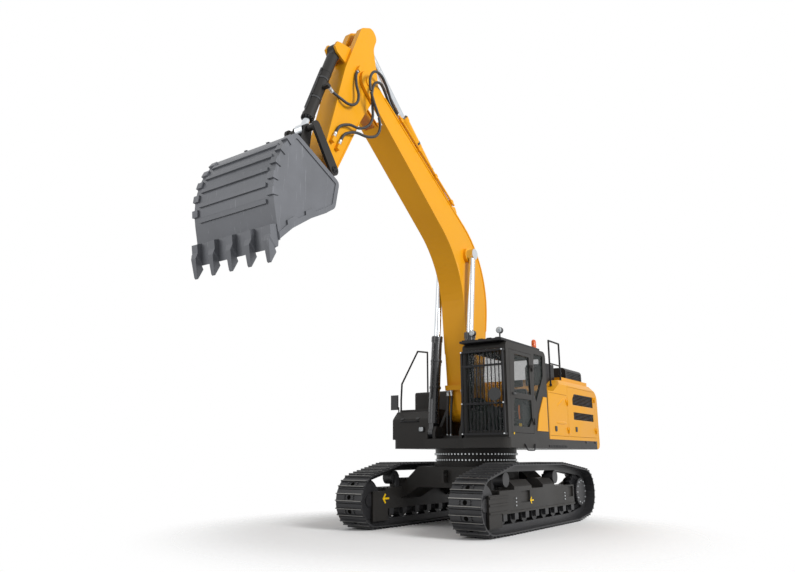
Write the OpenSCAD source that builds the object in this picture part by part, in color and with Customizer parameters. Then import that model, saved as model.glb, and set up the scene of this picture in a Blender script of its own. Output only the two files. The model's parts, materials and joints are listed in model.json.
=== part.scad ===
// Crawler excavator, stored with its boom raised and its bucket opened.
// +X points to the front, +Y to the machine's left, +Z up, in millimetres.
// The origin is on the ground, below the middle of the overall box.

/* [Undercarriage] */
// Distance between the idler and sprocket centres
wheelbase = 4260; // [4000:10:4600]
// Distance between the centre lines of the two tracks
track_gauge = 2390; // [2340:10:2800]
// Width of a track shoe
shoe_w = 600; // [550:10:700]
// Radius from the idler's centre to the inner face of the shoes
wrap_r = 440; // [430:5:460]
// Thickness of a shoe plate
shoe_plate = 20; // [14:1:26]
// Height of the grouser bars on a shoe
grouser_h = 30; // [20:1:40]
// Height of the chain links under the shoes
link_h = 105; // [95:1:115]
// Target pitch of the shoes
shoe_pitch = 240; // [220:1:260]
// Width of a track frame
track_frame_w = 330; // [300:5:360]
// Height of the carrier rollers' axes
carrier_z = 895; // [870:5:930]
// Height of the car body's top face
car_body_top = 1190; // [1180:5:1230]
// Outer radius of the swing bearing
bearing_r = 800; // [720:10:850]

/* [Upper structure] */
// Height of the deck's underside
deck_z = 1440; // [1420:5:1500]
// Thickness of the deck
deck_t = 180; // [150:5:220]
// Width of the upper structure
upper_w = 2930; // [2850:10:2960]
// Radius swept by the counterweight
tail_r = 3550; // [3500:10:3700]
// Length of the counterweight
counterweight_l = 500; // [450:10:600]
// Height of the counterweight's top
counterweight_top = 2760; // [2600:10:2850]
// Height of the engine house's roof
house_top = 2860; // [2800:10:2950]
// Thickness of the sheet metal walls
wall = 40; // [30:1:50]

/* [Cab] */
// Length of the cab
cab_l = 1780; // [1700:10:1850]
// Distance of the cab's right wall from the machine's middle
cab_inner = 570; // [540:5:620]
// Height of the cab above the deck
cab_h = 1710; // [1650:10:1800]
// Distance of the cab's front from the swing axis
cab_front = 1450; // [1400:10:1500]
// Thickness of the cab's walls and door
cab_wall = 45; // [40:1:55]
// Thickness of the window panes
pane_t = 10; // [8:1:14]

/* [Boom] */
// Distance between the boom's foot and nose pins
boom_l = 6612; // [6400:10:6900]
// Width of the boom's box
boom_w = 500; // [480:5:540]
// Angle of the boom's pin line above level
boom_angle = 56.9; // [40:0.1:62]
// Distance of the foot pin from the swing axis
boom_foot_x = 360; // [320:10:400]
// Height of the foot pin
boom_foot_z = 2200; // [2150:10:2250]
// Outer diameter of a boom cylinder's tube
boom_cylinder_d = 210; // [190:5:220]

/* [Arm] */
// Distance between the arm's boom pin and bucket pin
arm_l = 2650; // [2500:10:2900]
// Width of the arm's box
arm_w = 380; // [360:5:400]
// Angle of the arm's pin line above level
arm_angle = -65; // [-80:0.1:-40]
// Outer diameter of the arm cylinder's tube
arm_cylinder_d = 225; // [200:5:240]
// Outer diameter of the bucket cylinder's tube
bucket_cylinder_d = 195; // [180:5:210]

/* [Bucket] */
// Distance from the bucket's pin to its tooth tips
bucket_r = 2230; // [2000:10:2300]
// Width of the bucket between its side plates' outer faces
bucket_w = 1560; // [1400:10:1700]
// Angle of the line from the bucket's pin to its tooth tips
bucket_angle = -47.4; // [-60:0.1:-40]
// Number of teeth
tooth_count = 5; // [3:1:6]
// Thickness of the bucket's shell
bucket_wall = 40; // [30:1:50]

/* [Hidden] */
$fn = 64;

// Overrun of every cut past the face that it leaves
cut = 20;
// Gap between a moving piece and its seat
seat_gap = 0.3;
// Running gap between a moving piece and its neighbours
run_gap = 8;

yellow = "#f2a900";
dark_grey = "#3a3c3e";
black = "#1b1c1d";
bright = "#c9ccd0";
engine_grey = "#6a6d70";
glass_tint = "#9fb4ba";
beacon_orange = "#e8641b";

// Plane geometry in X and Z: q seen from a frame at p that is turned by a
function at(p, a, q) = [p.x + q.x * cos(a) - q.y * sin(a), p.y + q.x * sin(a) + q.y * cos(a)];
function heading(p, q) = atan2(q.y - p.y, q.x - p.x);
function flipped(pts) = [for (i = [len(pts) - 1:-1:0]) pts[i]];
function scaled(shares, size) = [for (p = shares) p * size];

// Arc of radius r that rounds the corner b between a and c
function corner(a, b, c, r, steps) =
  let (u = (a - b) / norm(a - b), v = (c - b) / norm(c - b))
  let (half = acos(u * v) / 2, mid = (u + v) / norm(u + v))
  let (m = b + mid * r / sin(half), t = b + u * r / tan(half) - m, e = b + v * r / tan(half) - m)
  let (turn = asin((t.x * e.y - t.y * e.x) / (r * r)))
  [for (i = [0:steps]) m + [t.x * cos(turn * i / steps) - t.y * sin(turn * i / steps),
    t.x * sin(turn * i / steps) + t.y * cos(turn * i / steps)]];

// A path whose points with a radius over zero are rounded
function rounded(pts, radii, steps) = [for (i = [0:len(pts) - 1])
  let (a = pts[(i + len(pts) - 1) % len(pts)], c = pts[(i + 1) % len(pts)])
  each (radii[i] > 0 ? corner(a, pts[i], c, radii[i], steps) : [pts[i]])];

// A closed outline drawn in by t: each corner moves along its bisector
function drawn_in(pts, t) = [for (i = [0:len(pts) - 1])
  let (n = len(pts), a = pts[(i + n - 1) % n], b = pts[i], c = pts[(i + 1) % n])
  let (u = (b - a) / norm(b - a), v = (c - b) / norm(c - b))
  let (p = [-u.y, u.x], q = [-v.y, v.x], mid = (p + q) / norm(p + q))
  b + mid * t / (mid * p)];

// An open path moved to its left by t
function moved_path(pts, t) = [for (i = [0:len(pts) - 1])
  let (n = len(pts), b = pts[i], a = i > 0 ? pts[i - 1] : 2 * b - pts[1])
  let (c = i < n - 1 ? pts[i + 1] : 2 * b - pts[n - 2])
  let (u = (b - a) / norm(b - a), v = (c - b) / norm(c - b))
  let (p = [-u.y, u.x], q = [-v.y, v.x], mid = (p + q) / norm(p + q))
  b + mid * t / (mid * p)];

// Slab with an outline in X and Z, centred on y
module slab(y, w) {
  translate([0, y + w / 2, 0]) rotate([90, 0, 0]) linear_extrude(w) children();
}

// Box from its low corner to its high corner
module block(low, high) {
  translate(low) cube(high - low);
}

// Round bar along Y, centred on y, through p in X and Z
module pin(p, r, w, y = 0) {
  translate([p.x, y, p.y]) rotate([90, 0, 0]) cylinder(r = r, h = w, center = true);
}

// Round bar between two points
module bar(p, q, r) {
  d = q - p;
  translate(p) rotate([0, acos(d.z / norm(d)), atan2(d.y, d.x)]) cylinder(r = r, h = norm(d));
}

bend_ball_share = 1.05;

// Tube through a list of points, with a ball at each bend
module rail(points, r) {
  for (i = [0:len(points) - 2]) bar(points[i], points[i + 1], r);
  for (i = [1:len(points) - 2]) translate(points[i]) sphere(r * bend_ball_share);
}

// Frame at p in X and Z, turned up by a
module pose(p, a) {
  translate([p.x, 0, p.y]) rotate([0, -a, 0]) children();
}

module both_sides() {
  children();
  mirror([0, 1, 0]) children();
}

// Places of the pins of the working gear, in X and Z from the swing axis
boom_foot = [boom_foot_x, boom_foot_z];
boom_nose = at(boom_foot, boom_angle, [boom_l, 0]);
bucket_pin = at(boom_nose, arm_angle, [arm_l, 0]);

// Undercarriage values
track_y = track_gauge / 2;
shoe_h = shoe_plate + grouser_h;
bottom_roller_r = 130;
roller_path_r = bottom_roller_r + link_h;
roller_z = shoe_h + roller_path_r;
idler_lift = 15;
sprocket_lift = 70;
idler_x = wheelbase / 2;
idler_z = shoe_h + wrap_r + idler_lift;
sprocket_z = shoe_h + wrap_r + sprocket_lift;
roller_front_share = 0.352;
roller_rear_share = 0.373;
roller_front_x = wheelbase * roller_front_share;
roller_rear_x = -wheelbase * roller_rear_share;
roller_count = 8;
carrier_front_x = 1300;
carrier_rear_x = -900;
link_band_w = 52;
link_band_y = 74;

// Circles that the inner face of the shoes runs round, each [x, z, radius]
belt = [
  [-idler_x, sprocket_z, wrap_r],
  [roller_rear_x, roller_z, roller_path_r],
  [roller_front_x, roller_z, roller_path_r],
  [idler_x, idler_z, wrap_r],
  [carrier_front_x, carrier_z, roller_path_r],
  [carrier_rear_x, carrier_z, roller_path_r]
];
belt_n = len(belt);
function belt_gap(i) = [belt[(i + 1) % belt_n].x - belt[i].x, belt[(i + 1) % belt_n].y - belt[i].y];
function belt_step(i) = belt[i][2] - belt[(i + 1) % belt_n][2];
// Direction of the outward normal on the straight that leaves circle i
function leave(i) = atan2(belt_gap(i).y, belt_gap(i).x) - acos(belt_step(i) / norm(belt_gap(i)));
function enter(i) = leave((i + belt_n - 1) % belt_n);
function turned(i) = (leave(i) - enter(i) + 720) % 360;
stage_lengths = [for (i = [0:belt_n - 1]) each [
  belt[i][2] * turned(i) * PI / 180, sqrt(pow(norm(belt_gap(i)), 2) - pow(belt_step(i), 2))]];
function length_to(k) = k == 0 ? 0 : length_to(k - 1) + stage_lengths[k - 1];
stage_starts = [for (k = [0:2 * belt_n]) length_to(k)];
belt_length = stage_starts[2 * belt_n];
shoe_count = round(belt_length / shoe_pitch);
real_pitch = belt_length / shoe_count;
function stage_at(s) = max([for (k = [0:2 * belt_n - 1]) if (stage_starts[k] <= s) k]);
// Point at length s along the belt, raised by h, and the way it faces
function on_belt(s, h) =
  let (k = stage_at(s), i = floor(k / 2), r = belt[i][2], rest = s - stage_starts[k])
  let (a = k % 2 == 0 ? enter(i) + rest / r * 180 / PI : leave(i), slide = k % 2 == 0 ? 0 : rest)
  [belt[i].x + (r + h) * cos(a) - slide * sin(a), belt[i].y + (r + h) * sin(a) + slide * cos(a)];
// One shoe: share of the pitch, share of the plate, share of the grouser
shoe_shares = [
  [0, 0.3, 0], [0.03, 1, 0], [0.13, 1, 0], [0.155, 1, 1], [0.215, 1, 1], [0.24, 1, 0],
  [0.59, 1, 0], [0.615, 1, 1], [0.675, 1, 1], [0.70, 1, 0], [0.97, 1, 0]
];
shoe_outline = [for (k = [0:shoe_count - 1]) for (q = shoe_shares)
  on_belt((k + q[0]) * real_pitch, q[1] * shoe_plate + q[2] * grouser_h)];
// Ring round the belt's circles at height h over the inner face of the shoes
ring_step = 18;
function ring(h) = [for (i = [0:belt_n - 1])
  let (n = max(1, ceil(turned(i) / ring_step)))
  for (j = [0:n]) let (a = enter(i) + turned(i) * j / n)
  [belt[i].x + (belt[i][2] + h) * cos(a), belt[i].y + (belt[i][2] + h) * sin(a)]];

// Track frame values
frame_bottom = 335;
frame_top = 720;
frame_rear_x = -1710;
frame_front_x = 1690;
frame_rail_w = 62;
roller_slot_top = 440;
saddle_top = 880;
leg_high = 760;
saddle_spans = [[380, 1110], [-700, -130]];
saddle_bevel = 110;
rib_t = 14;
rib_h = 34;
rib_zs = [618, 500, 372];
window_depth = 36;
window_spans = [[470, 850], [-1660, -1400]];
window_zs = [490, 690];
leg_in_x = 480;
leg_out_x = 1160;
idler_plate_w = 42;
idler_plate = [1620, 2080, 130, 660];
idler_w = 206;
hub_r = 262;
hub_plate_w = 50;
sprocket_teeth = 21;
sprocket_tooth_r = 392;
sprocket_root_r = 340;
sprocket_w = 84;

// Upper structure values
deck_top = deck_z + deck_t;
half_w = upper_w / 2;
cab_w = half_w - cab_inner;
cab_rear = cab_front - cab_l;
cab_left = half_w;
cab_right = cab_inner;
cab_roof = deck_top + cab_h;
cab_gap = 30;
house_rear = counterweight_l - tail_r;
house_l = 1650;
house_front = house_rear + house_l;
left_bay_front = cab_rear - cab_gap;
left_bay_top = 2570;
bay_slope_low = 280;
bay_slope_high = 830;
bay_slope_x = [left_bay_front - bay_slope_high, left_bay_front - bay_slope_low];
// Height of the left bay's slanted top at x
function bay_height(x) = left_bay_top
  + (house_top - left_bay_top) * (bay_slope_x[1] - x) / (bay_slope_x[1] - bay_slope_x[0]);
nose_x = 1170;
tool_front = 860;
tank_front = 20;
tank_top = 2650;
well_half = 500;
deck_front = cab_front + cab_wall;
deck_corner_r = 130;
house_bevel = 110;

// Boom bracket and cylinder base values
bracket_t = 60;
bracket_rear = -480;
bracket_shoulder = -60;
boom_foot_half = boom_w / 2 + run_gap;
bracket_y = boom_foot_half + run_gap + bracket_t / 2;
foot_r = 250;
foot_pin_r = 65;
boom_cylinder_base = [1010, 1745];
cylinder_eye_r = 112;
cylinder_eye_w = 100;
cylinder_y = bracket_y + bracket_t / 2 + run_gap + cylinder_eye_w / 2;
cylinder_pin_r = 52;
boom_rod_eye_w = 140;
lug_t = 46;
lug_y = cylinder_y + cylinder_eye_w / 2 + run_gap + lug_t / 2;

collar_r = 100;
collar_t = 20;
swivel_x = [640, 880];
swivel_half = 240;
swivel_h = 60;
swivel_top = deck_top + swivel_h;

// Boom outline as shares of its length, from the foot along the underside and back
boom_shares = [[0.019, -0.0345], [0.413, 0.1765], [0.985, -0.030], [1.015, 0], [1.0, 0.031], [0.962, 0.0455],
  [0.3414, 0.349], [-0.026, 0.0293]];
boom_bend_shares = [0, 0.30, 0, 0, 0, 0, 0.28, 0];
bend_steps = 12;
boom_outline = rounded(scaled(boom_shares, boom_l), boom_l * boom_bend_shares, bend_steps);
boom_plate = 26;
boom_lip = 12;
boom_lip_t = 34;
boom_lip_span_shares = [0.17, 0.95];
nose_r = 215;
nose_pin_r = 60;
arm_boss_half = arm_w / 2;
nose_slot_half = arm_boss_half + run_gap;
nose_slot_l = 770;
boom_eye_shares = [0.4207, 0.2268];
boom_eye = at(boom_foot, boom_angle, boom_eye_shares * boom_l);
boom_eye_boss_r = 150;
arm_cylinder_base_shares = [0.56, 0.268];
arm_cylinder_base = at(boom_foot, boom_angle, arm_cylinder_base_shares * boom_l);

// Arm outline as shares of its length, round the pins
arm_shares = [[-0.10, -0.095], [0.08, -0.105], [0.30, -0.075], [0.86, -0.048], [1.0, -0.068], [1.066, 0],
  [1.0, 0.068], [0.83, 0.085], [0.09, 0.205], [-0.33, 0.222], [-0.435, 0.145], [-0.41, 0.07],
  [-0.30, 0.062]];
arm_bend_shares = [0.05, 0.05, 0.2, 0.1, 0.05, 0.06, 0.05, 0.1, 0.1, 0.05, 0.05, 0.05, 0.1];
arm_outline = rounded(scaled(arm_shares, arm_l), arm_l * arm_bend_shares, 5);
arm_plate = 22;
arm_eye_shares = [-0.367, 0.140];
arm_eye = at(boom_nose, arm_angle, arm_eye_shares * arm_l);
arm_eye_w = 150;
arm_slot_share = 0.155;
bucket_base_shares = [-0.017, 0.285];
bucket_base = at(boom_nose, arm_angle, bucket_base_shares * arm_l);
rocker_pin_shares = [0.853, 0];
rocker_pin = at(boom_nose, arm_angle, rocker_pin_shares * arm_l);
link_pin_shares = [0.721, 0.242];
link_pin = at(boom_nose, arm_angle, link_pin_shares * arm_l);

// Bucket outline as shares of its tip radius, from the hinge edge round the back to the lip
bucket_back_shares = [[0.125, 0.045], [0.268, 0.487], [0.605, 0.470], [0.874, 0.067]];
bucket_side_shares = [[0.125, 0.045], [0.29, -0.058], [0.395, -0.032], [0.545, 0.017], [0.73, 0.058],
  [0.874, 0.067], [0.605, 0.470], [0.268, 0.487]];
bucket_bend_shares = [0, 0.05, 0.54, 0];
bucket_side_bend_shares = [0.04, 0.06, 0.1, 0.3, 0.3, 0, 0.54, 0.05];
bucket_back_steps = 10;
bucket_back = rounded(scaled(bucket_back_shares, bucket_r), bucket_r * bucket_bend_shares, bucket_back_steps);
bucket_side = rounded(scaled(bucket_side_shares, bucket_r), bucket_r * bucket_side_bend_shares,
  bucket_back_steps);
shoe_wear_t = 30;
bucket_ear_pin_shares = [-0.031, 0.24];
bucket_ear_pin = at(bucket_pin, bucket_angle, bucket_ear_pin_shares * bucket_r);
bucket_lip_shares = [[0.80, 0.128], [0.835, 0.155], [0.925, 0.045], [0.90, 0.040], [0.86, 0.075]];
bucket_pin_r = 55;
hinge_ear_t = 60;
hinge_ear_y = arm_w / 2 + run_gap + hinge_ear_t / 2;
rocker_t = 50;
rocker_y = hinge_ear_y + hinge_ear_t / 2 + run_gap + rocker_t / 2;
side_plate_t = 50;
tooth_w = 120;

// The overall box is centred on the origin
front_reach = max([for (q = bucket_back) at(bucket_pin, bucket_angle, q).x]) + shoe_wear_t;
frame_x = (tail_r - front_reach) / 2;

module at_frame() {
  translate([frame_x, 0, 0]) children();
}

// Undercarriage

module car_body() {
  leg_low = 500;
  belly = 720;
  belly_half = 640;
  frame_in = track_y - track_frame_w / 2;
  drum_h = 90;
  beam = [[-frame_in, leg_low], [-belly_half, belly], [belly_half, belly], [frame_in, leg_low],
    [frame_in, leg_high], [belly_half, car_body_top - drum_h], [-belly_half, car_body_top - drum_h],
    [-frame_in, leg_high]];
  color(dark_grey) at_frame() difference() {
    union() {
      for (x = [leg_in_x, -leg_out_x]) translate([x, 0, 0]) rotate([90, 0, 90])
        linear_extrude(leg_out_x - leg_in_x) polygon(beam);
      block([-leg_in_x, -belly_half, belly], [leg_in_x, belly_half, car_body_top - drum_h]);
      translate([0, 0, belly]) cylinder(r = bearing_r + drum_h / 2, h = car_body_top - belly);
    }
    for (x = [leg_in_x, -leg_out_x]) translate([x + wall, 0, 0]) rotate([90, 0, 90])
      linear_extrude(leg_out_x - leg_in_x - 2 * wall) polygon(drawn_in(beam, wall));
    block([-leg_in_x + wall, -belly_half + wall, belly + wall],
      [leg_in_x - wall, belly_half - wall, car_body_top - drum_h - wall]);
  }
}

tow_lug_t = 50;
tow_lug_r = 75;
tow_hole_r = 34;

module tow_lugs() {
  lug_base = car_body_top - 2 * tow_lug_r;
  color(dark_grey) at_frame() for (s = [-1, 1]) difference() {
    union() {
      block([s * leg_out_x - (s < 0 ? 2 * tow_lug_r : 0), -tow_lug_t / 2, lug_base - tow_lug_r * 3],
        [s * leg_out_x + (s > 0 ? 2 * tow_lug_r : 0), tow_lug_t / 2, lug_base]);
    }
    pin([s * (leg_out_x + tow_lug_r), lug_base - tow_lug_r], tow_hole_r, tow_lug_t + 2 * cut);
  }
}

// Guard, ribs and pockets make the outer face; the inner face is plain
module track_frame() {
  half = track_frame_w / 2;
  slot_half = half - frame_rail_w;
  hub = [-idler_x, sprocket_z];
  difference() {
    union() {
      block([frame_rear_x, -half, frame_bottom], [frame_front_x, half, frame_top]);
      for (span = saddle_spans) translate([span[0], 0, 0]) rotate([90, 0, 90])
        linear_extrude(span[1] - span[0]) polygon([[-half, frame_top - cut], [half, frame_top - cut],
          [half, saddle_top - saddle_bevel], [half - saddle_bevel, saddle_top], [-half, saddle_top]]);
      for (s = [-1, 1]) block([idler_plate[0], s * half - (s > 0 ? idler_plate_w : 0), idler_plate[2]],
        [idler_plate[1], s * half + (s < 0 ? idler_plate_w : 0), idler_plate[3]]);
      for (z = rib_zs) block([frame_front_x - idler_plate_w * 8, half - rib_t, z - rib_h / 2],
        [idler_plate[1] - rib_t, half + rib_t, z + rib_h / 2]);
      block([frame_rear_x, half - rib_t, frame_bottom], [idler_plate[0], half + rib_t, frame_bottom + rib_h]);
      slab(-half + hub_plate_w / 2, hub_plate_w) {
        translate(hub) circle(hub_r + hub_plate_w / 2);
        polygon([hub + [0, -hub_r], [frame_rear_x + cut, frame_bottom],
          [frame_rear_x + cut, frame_top], hub + [0, hub_r]]);
      }
    }
    block([frame_rear_x - cut, -slot_half, frame_bottom - cut],
      [frame_front_x + cut, slot_half, roller_slot_top]);
    block([idler_plate[0] + idler_plate_w, -half + idler_plate_w, idler_plate[2] - cut],
      [idler_plate[1] + cut, half - idler_plate_w, frame_top + cut]);
    for (span = window_spans) block([span[0], half - window_depth, window_zs[0]],
      [span[1], half + cut, window_zs[1]]);
  }
}

module track_frame_left() {
  color(dark_grey) at_frame() translate([0, track_y, 0]) track_frame();
}

module track_frame_right() {
  color(dark_grey) at_frame() mirror([0, 1, 0]) translate([0, track_y, 0]) track_frame();
}

// Closed loop of shoes with the two rows of links under them
module track() {
  slab(0, shoe_w) difference() {
    polygon(shoe_outline);
    polygon(ring(0));
  }
  for (s = [-1, 1]) slab(s * link_band_y, link_band_w) difference() {
    polygon(ring(0));
    polygon(ring(-link_h));
  }
}

module track_left() {
  color(black) at_frame() translate([0, track_y, 0]) track();
}

module track_right() {
  color(black) at_frame() translate([0, -track_y, 0]) track();
}

module idlers() {
  rim_r = (wrap_r - link_h) * cos(ring_step / 2) - seat_gap;
  flange_r = rim_r + link_h / 2;
  flange_w = 2 * link_band_y - link_band_w - run_gap;
  hub_w = track_frame_w - 2 * idler_plate_w;
  color(dark_grey) at_frame() both_sides() {
    pin([idler_x, idler_z], rim_r, idler_w, track_y);
    pin([idler_x, idler_z], flange_r, flange_w, track_y);
    pin([idler_x, idler_z], rim_r / 3, hub_w, track_y);
  }
}

cog_teeth = 40;
cog_h = 22;
// Outline of a ring of square teeth: two points on the root circle and two on the tips
function cog(teeth, root, tip) = [for (i = [0:teeth - 1]) for (q = [[0.05, 0], [0.2, 1], [0.55, 1], [0.7, 0]])
  let (r = root + q[1] * (tip - root), a = (i + q[0]) * 360 / teeth) [r * cos(a), r * sin(a)]];

module sprockets() {
  hub = [-idler_x, sprocket_z];
  half = track_frame_w / 2;
  hub_w = track_frame_w - hub_plate_w;
  color(dark_grey) at_frame() both_sides() translate([0, track_y, 0]) {
    slab(0, sprocket_w) translate(hub) union() {
      circle(sprocket_root_r);
      for (i = [0:sprocket_teeth - 1]) rotate(i * 360 / sprocket_teeth)
        polygon([[0, -link_h / 2.5], [sprocket_tooth_r, -link_h / 6], [sprocket_tooth_r, link_h / 6],
          [0, link_h / 2.5]]);
    }
    pin(hub, hub_r, hub_w, hub_plate_w / 2);
    slab(half - hub_plate_w / 2, hub_plate_w) translate(hub) polygon(cog(cog_teeth, hub_r, hub_r + cog_h));
  }
}

module bottom_rollers() {
  half = track_frame_w / 2;
  body_w = track_frame_w - 2 * frame_rail_w - run_gap;
  shaft_r = 45;
  collar_h = frame_bottom - roller_z + shaft_r * 1.4;
  color(black) at_frame() both_sides() translate([0, track_y, 0])
    for (i = [0:roller_count - 1]) {
      x = roller_front_x + (roller_rear_x - roller_front_x) * i / (roller_count - 1);
      pin([x, roller_z], bottom_roller_r - seat_gap, body_w);
      for (s = [-1, 1])
        block([x - shaft_r * 1.6, s * half - (s > 0 ? frame_rail_w : 0), frame_bottom - collar_h],
        [x + shaft_r * 1.6, s * half + (s < 0 ? frame_rail_w : 0), frame_bottom]);
      pin([x, roller_z], shaft_r, track_frame_w - frame_rail_w);
    }
}

module carrier_rollers() {
  half = track_frame_w / 2;
  body_w = idler_w;
  bracket_w = 50;
  shaft_r = 40;
  color(black) at_frame() both_sides() translate([0, track_y, 0])
    for (x = [carrier_front_x, carrier_rear_x]) {
      pin([x, carrier_z], bottom_roller_r * cos(ring_step / 2) - seat_gap, body_w);
      pin([x, carrier_z], shaft_r, half + idler_w / 2, (idler_w / 2 - half) / 2);
      block([x - bracket_w, -half, frame_top], [x + bracket_w, -half + bracket_w, carrier_z + bracket_w]);
    }
}

bearing_split = 120;

module bearing_lower() {
  color(dark_grey) at_frame() difference() {
    translate([0, 0, car_body_top]) cylinder(r = bearing_r, h = bearing_split);
    translate([0, 0, car_body_top - cut]) cylinder(r = bearing_r * 0.8, h = bearing_split + 2 * cut);
  }
}

module bearing_upper() {
  low = car_body_top + bearing_split + seat_gap;
  color(dark_grey) at_frame() difference() {
    translate([0, 0, low]) cylinder(r = bearing_r + wall / 2, h = deck_z - low);
    translate([0, 0, low - cut]) cylinder(r = bearing_r * 0.8, h = deck_z - low + 2 * cut);
  }
}

// Upper structure

module main_frame() {
  top_z = boom_foot_z + foot_r * 0.9;
  plan = [[deck_front, cab_right], [deck_front, half_w], [house_rear, half_w], [house_rear, -half_w],
    [tool_front, -half_w], [tool_front, -well_half], [nose_x, -well_half], [nose_x, cab_right]];
  plan_radii = [for (i = [0:len(plan) - 1]) i == 1 || i == 4 ? deck_corner_r : 0];
  deck = rounded(plan, plan_radii, bend_steps / 2);
  base = boom_cylinder_base;
  bracket = [[bracket_rear, deck_top], [bracket_shoulder, boom_foot_z + foot_r / 2],
    [boom_foot_x - foot_r / 2, top_z], [boom_foot_x + foot_r / 2, top_z], [boom_foot_x + foot_r, boom_foot_z],
    base + [-cylinder_eye_r * 1.2, cylinder_eye_r * 0.9], base + [cylinder_eye_r * 0.5, cylinder_eye_r],
    base + [cylinder_eye_r, 0], [base.x + cylinder_eye_r, deck_top]];
  lug = [[base.x - cylinder_eye_r * 1.4, deck_top], base + [-cylinder_eye_r, cylinder_eye_r * 0.3],
    base + [-cylinder_eye_r * 0.4, cylinder_eye_r], base + [cylinder_eye_r * 0.5, cylinder_eye_r],
    base + [cylinder_eye_r, 0], [base.x + cylinder_eye_r, deck_top]];
  color(dark_grey) at_frame() {
    difference() {
      translate([0, 0, deck_z]) linear_extrude(deck_t) polygon(deck);
      translate([0, 0, deck_z + wall / 2]) linear_extrude(deck_t - wall) polygon(drawn_in(deck, wall));
    }
    both_sides() {
      slab(bracket_y, bracket_t) polygon(bracket);
      slab(lug_y, lug_t) polygon(lug);
    }
    pin(boom_foot, foot_pin_r, 2 * bracket_y + bracket_t + cut);
    both_sides() pin(boom_foot, collar_r, collar_t, bracket_y + bracket_t / 2 + collar_t / 2);
    // Swivel block that the foot hoses rise from
    block([swivel_x[0], -swivel_half, deck_top], [swivel_x[1], swivel_half, swivel_top]);
    both_sides() pin(base, cylinder_pin_r, lug_y - bracket_y + lug_t, (lug_y + bracket_y) / 2);
  }
}

counterweight_low_r = 130;
counterweight_high_r = 230;

module counterweight() {
  low = deck_z + run_gap;
  profile = rounded([[0, low], [tail_r, low], [tail_r, counterweight_top], [0, counterweight_top]],
    [0, counterweight_low_r, counterweight_high_r, 0], bend_steps / 2);
  color(yellow) at_frame() intersection() {
    rotate_extrude($fn = 180) polygon(profile);
    block([-tail_r - cut, -half_w, low - cut], [house_rear, half_w, counterweight_top + cut]);
  }
}

engine_size = [850, 1300, 980];
engine_gap = 300;
engine_right = 550;

module engine() {
  low = [house_rear + engine_gap, -engine_right, deck_top];
  color(engine_grey) at_frame() block(low, low + engine_size);
}

hinge_pin_r = 8;
knuckle_r = 16;
knuckle_l = 60;
hinge_lift = 2;
leaf_l = 70;
hinge_out = knuckle_r + hinge_lift;

// Lower half of a door hinge, with its pin, on the wall before the door's edge at x
module hinge_seat(x, y, z) {
  block([x - knuckle_r, y - hinge_lift, z - knuckle_l], [x, y + knuckle_r, z]);
  translate([x, y + hinge_out, z - knuckle_l]) cylinder(r = knuckle_r, h = knuckle_l);
  translate([x, y + hinge_out, z - knuckle_l / 2]) cylinder(r = hinge_pin_r, h = knuckle_l);
}

// Upper half of a door hinge, on the door's face
module hinge_half(x, y, z) {
  low = z + seat_gap;
  difference() {
    union() {
      block([x, y + hinge_lift, low], [x + leaf_l, y + knuckle_r, low + knuckle_l]);
      block([x + 2 * door_gap, y - hinge_lift, low], [x + leaf_l, y + knuckle_r, low + knuckle_l]);
      translate([x, y + hinge_out, low]) cylinder(r = knuckle_r, h = knuckle_l);
    }
    translate([x, y + hinge_out, low - knuckle_l]) cylinder(r = hinge_pin_r + seat_gap, h = 3 * knuckle_l);
  }
}

hinge_shares = [0.15, 0.82];
function hinge_heights(low, high) = [for (q = hinge_shares) low + q * (high - low)];

door_gap = 6;
door_edge = 20;
door_rim = 30;
door_sill_h = 70;
left_front_span = [house_front + wall, left_bay_front - door_rim];
left_rear_span = [house_rear + door_edge, house_front];
right_span = [house_rear + door_edge, house_front - wall];
door_low = deck_top + door_sill_h;
left_front_top = left_bay_top - door_rim;
rear_door_top = house_top - house_bevel - door_edge;

// Section across the engine house, with a bevel along both top edges
house_section = [[-half_w, deck_top], [half_w, deck_top], [half_w, house_top - house_bevel],
  [half_w - house_bevel, house_top], [house_bevel - half_w, house_top], [-half_w, house_top - house_bevel]];

// Extrusion along X of a section in Y and Z
module along(from, to) {
  translate([from, 0, 0]) rotate([90, 0, 90]) linear_extrude(to - from) children();
}

module hood_shell() {
  t = wall;
  bay_w = half_w - cab_right;
  difference() {
    union() {
      along(house_rear, house_front) polygon(house_section);
      intersection() {
        slab(half_w - bay_w / 2, bay_w) polygon([[house_front - cut, deck_top], [left_bay_front, deck_top],
          [left_bay_front, left_bay_top], [bay_slope_x[1], left_bay_top], [bay_slope_x[0], house_top],
          [house_front - cut, house_top]]);
        along(house_front - 2 * cut, left_bay_front + cut) polygon(house_section);
      }
    }
    along(house_rear + t, house_front - t) polygon(drawn_in(house_section, t));
    block([house_rear + t, t - half_w, deck_top - cut], [house_front - t, half_w - t, deck_top + 2 * t]);
    block([house_front - t - cut, cab_right + t, deck_top - cut],
      [left_bay_front - t, half_w - t, left_bay_top - t]);
    block([left_front_span[0], half_w - t - cut, door_low],
      [left_front_span[1], half_w + cut, left_front_top]);
    block([left_rear_span[0], half_w - t - cut, door_low], [left_rear_span[1], half_w + cut, rear_door_top]);
    block([right_span[0], -half_w - cut, door_low], [right_span[1], t + cut - half_w, rear_door_top]);
    block([hood_span[0], -hood_half, house_top - t - cut], [hood_span[1], hood_half, house_top + cut]);
  }
}

module hood_frame() {
  color(yellow) at_frame() {
    for (z = hinge_heights(door_low, left_front_top)) hinge_seat(left_front_span[0], half_w, z);
    for (z = hinge_heights(door_low, rear_door_top)) {
      hinge_seat(left_rear_span[0], half_w, z);
      mirror([0, 1, 0]) hinge_seat(right_span[0], half_w, z);
    }
    hood_shell();
  }
}

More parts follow.
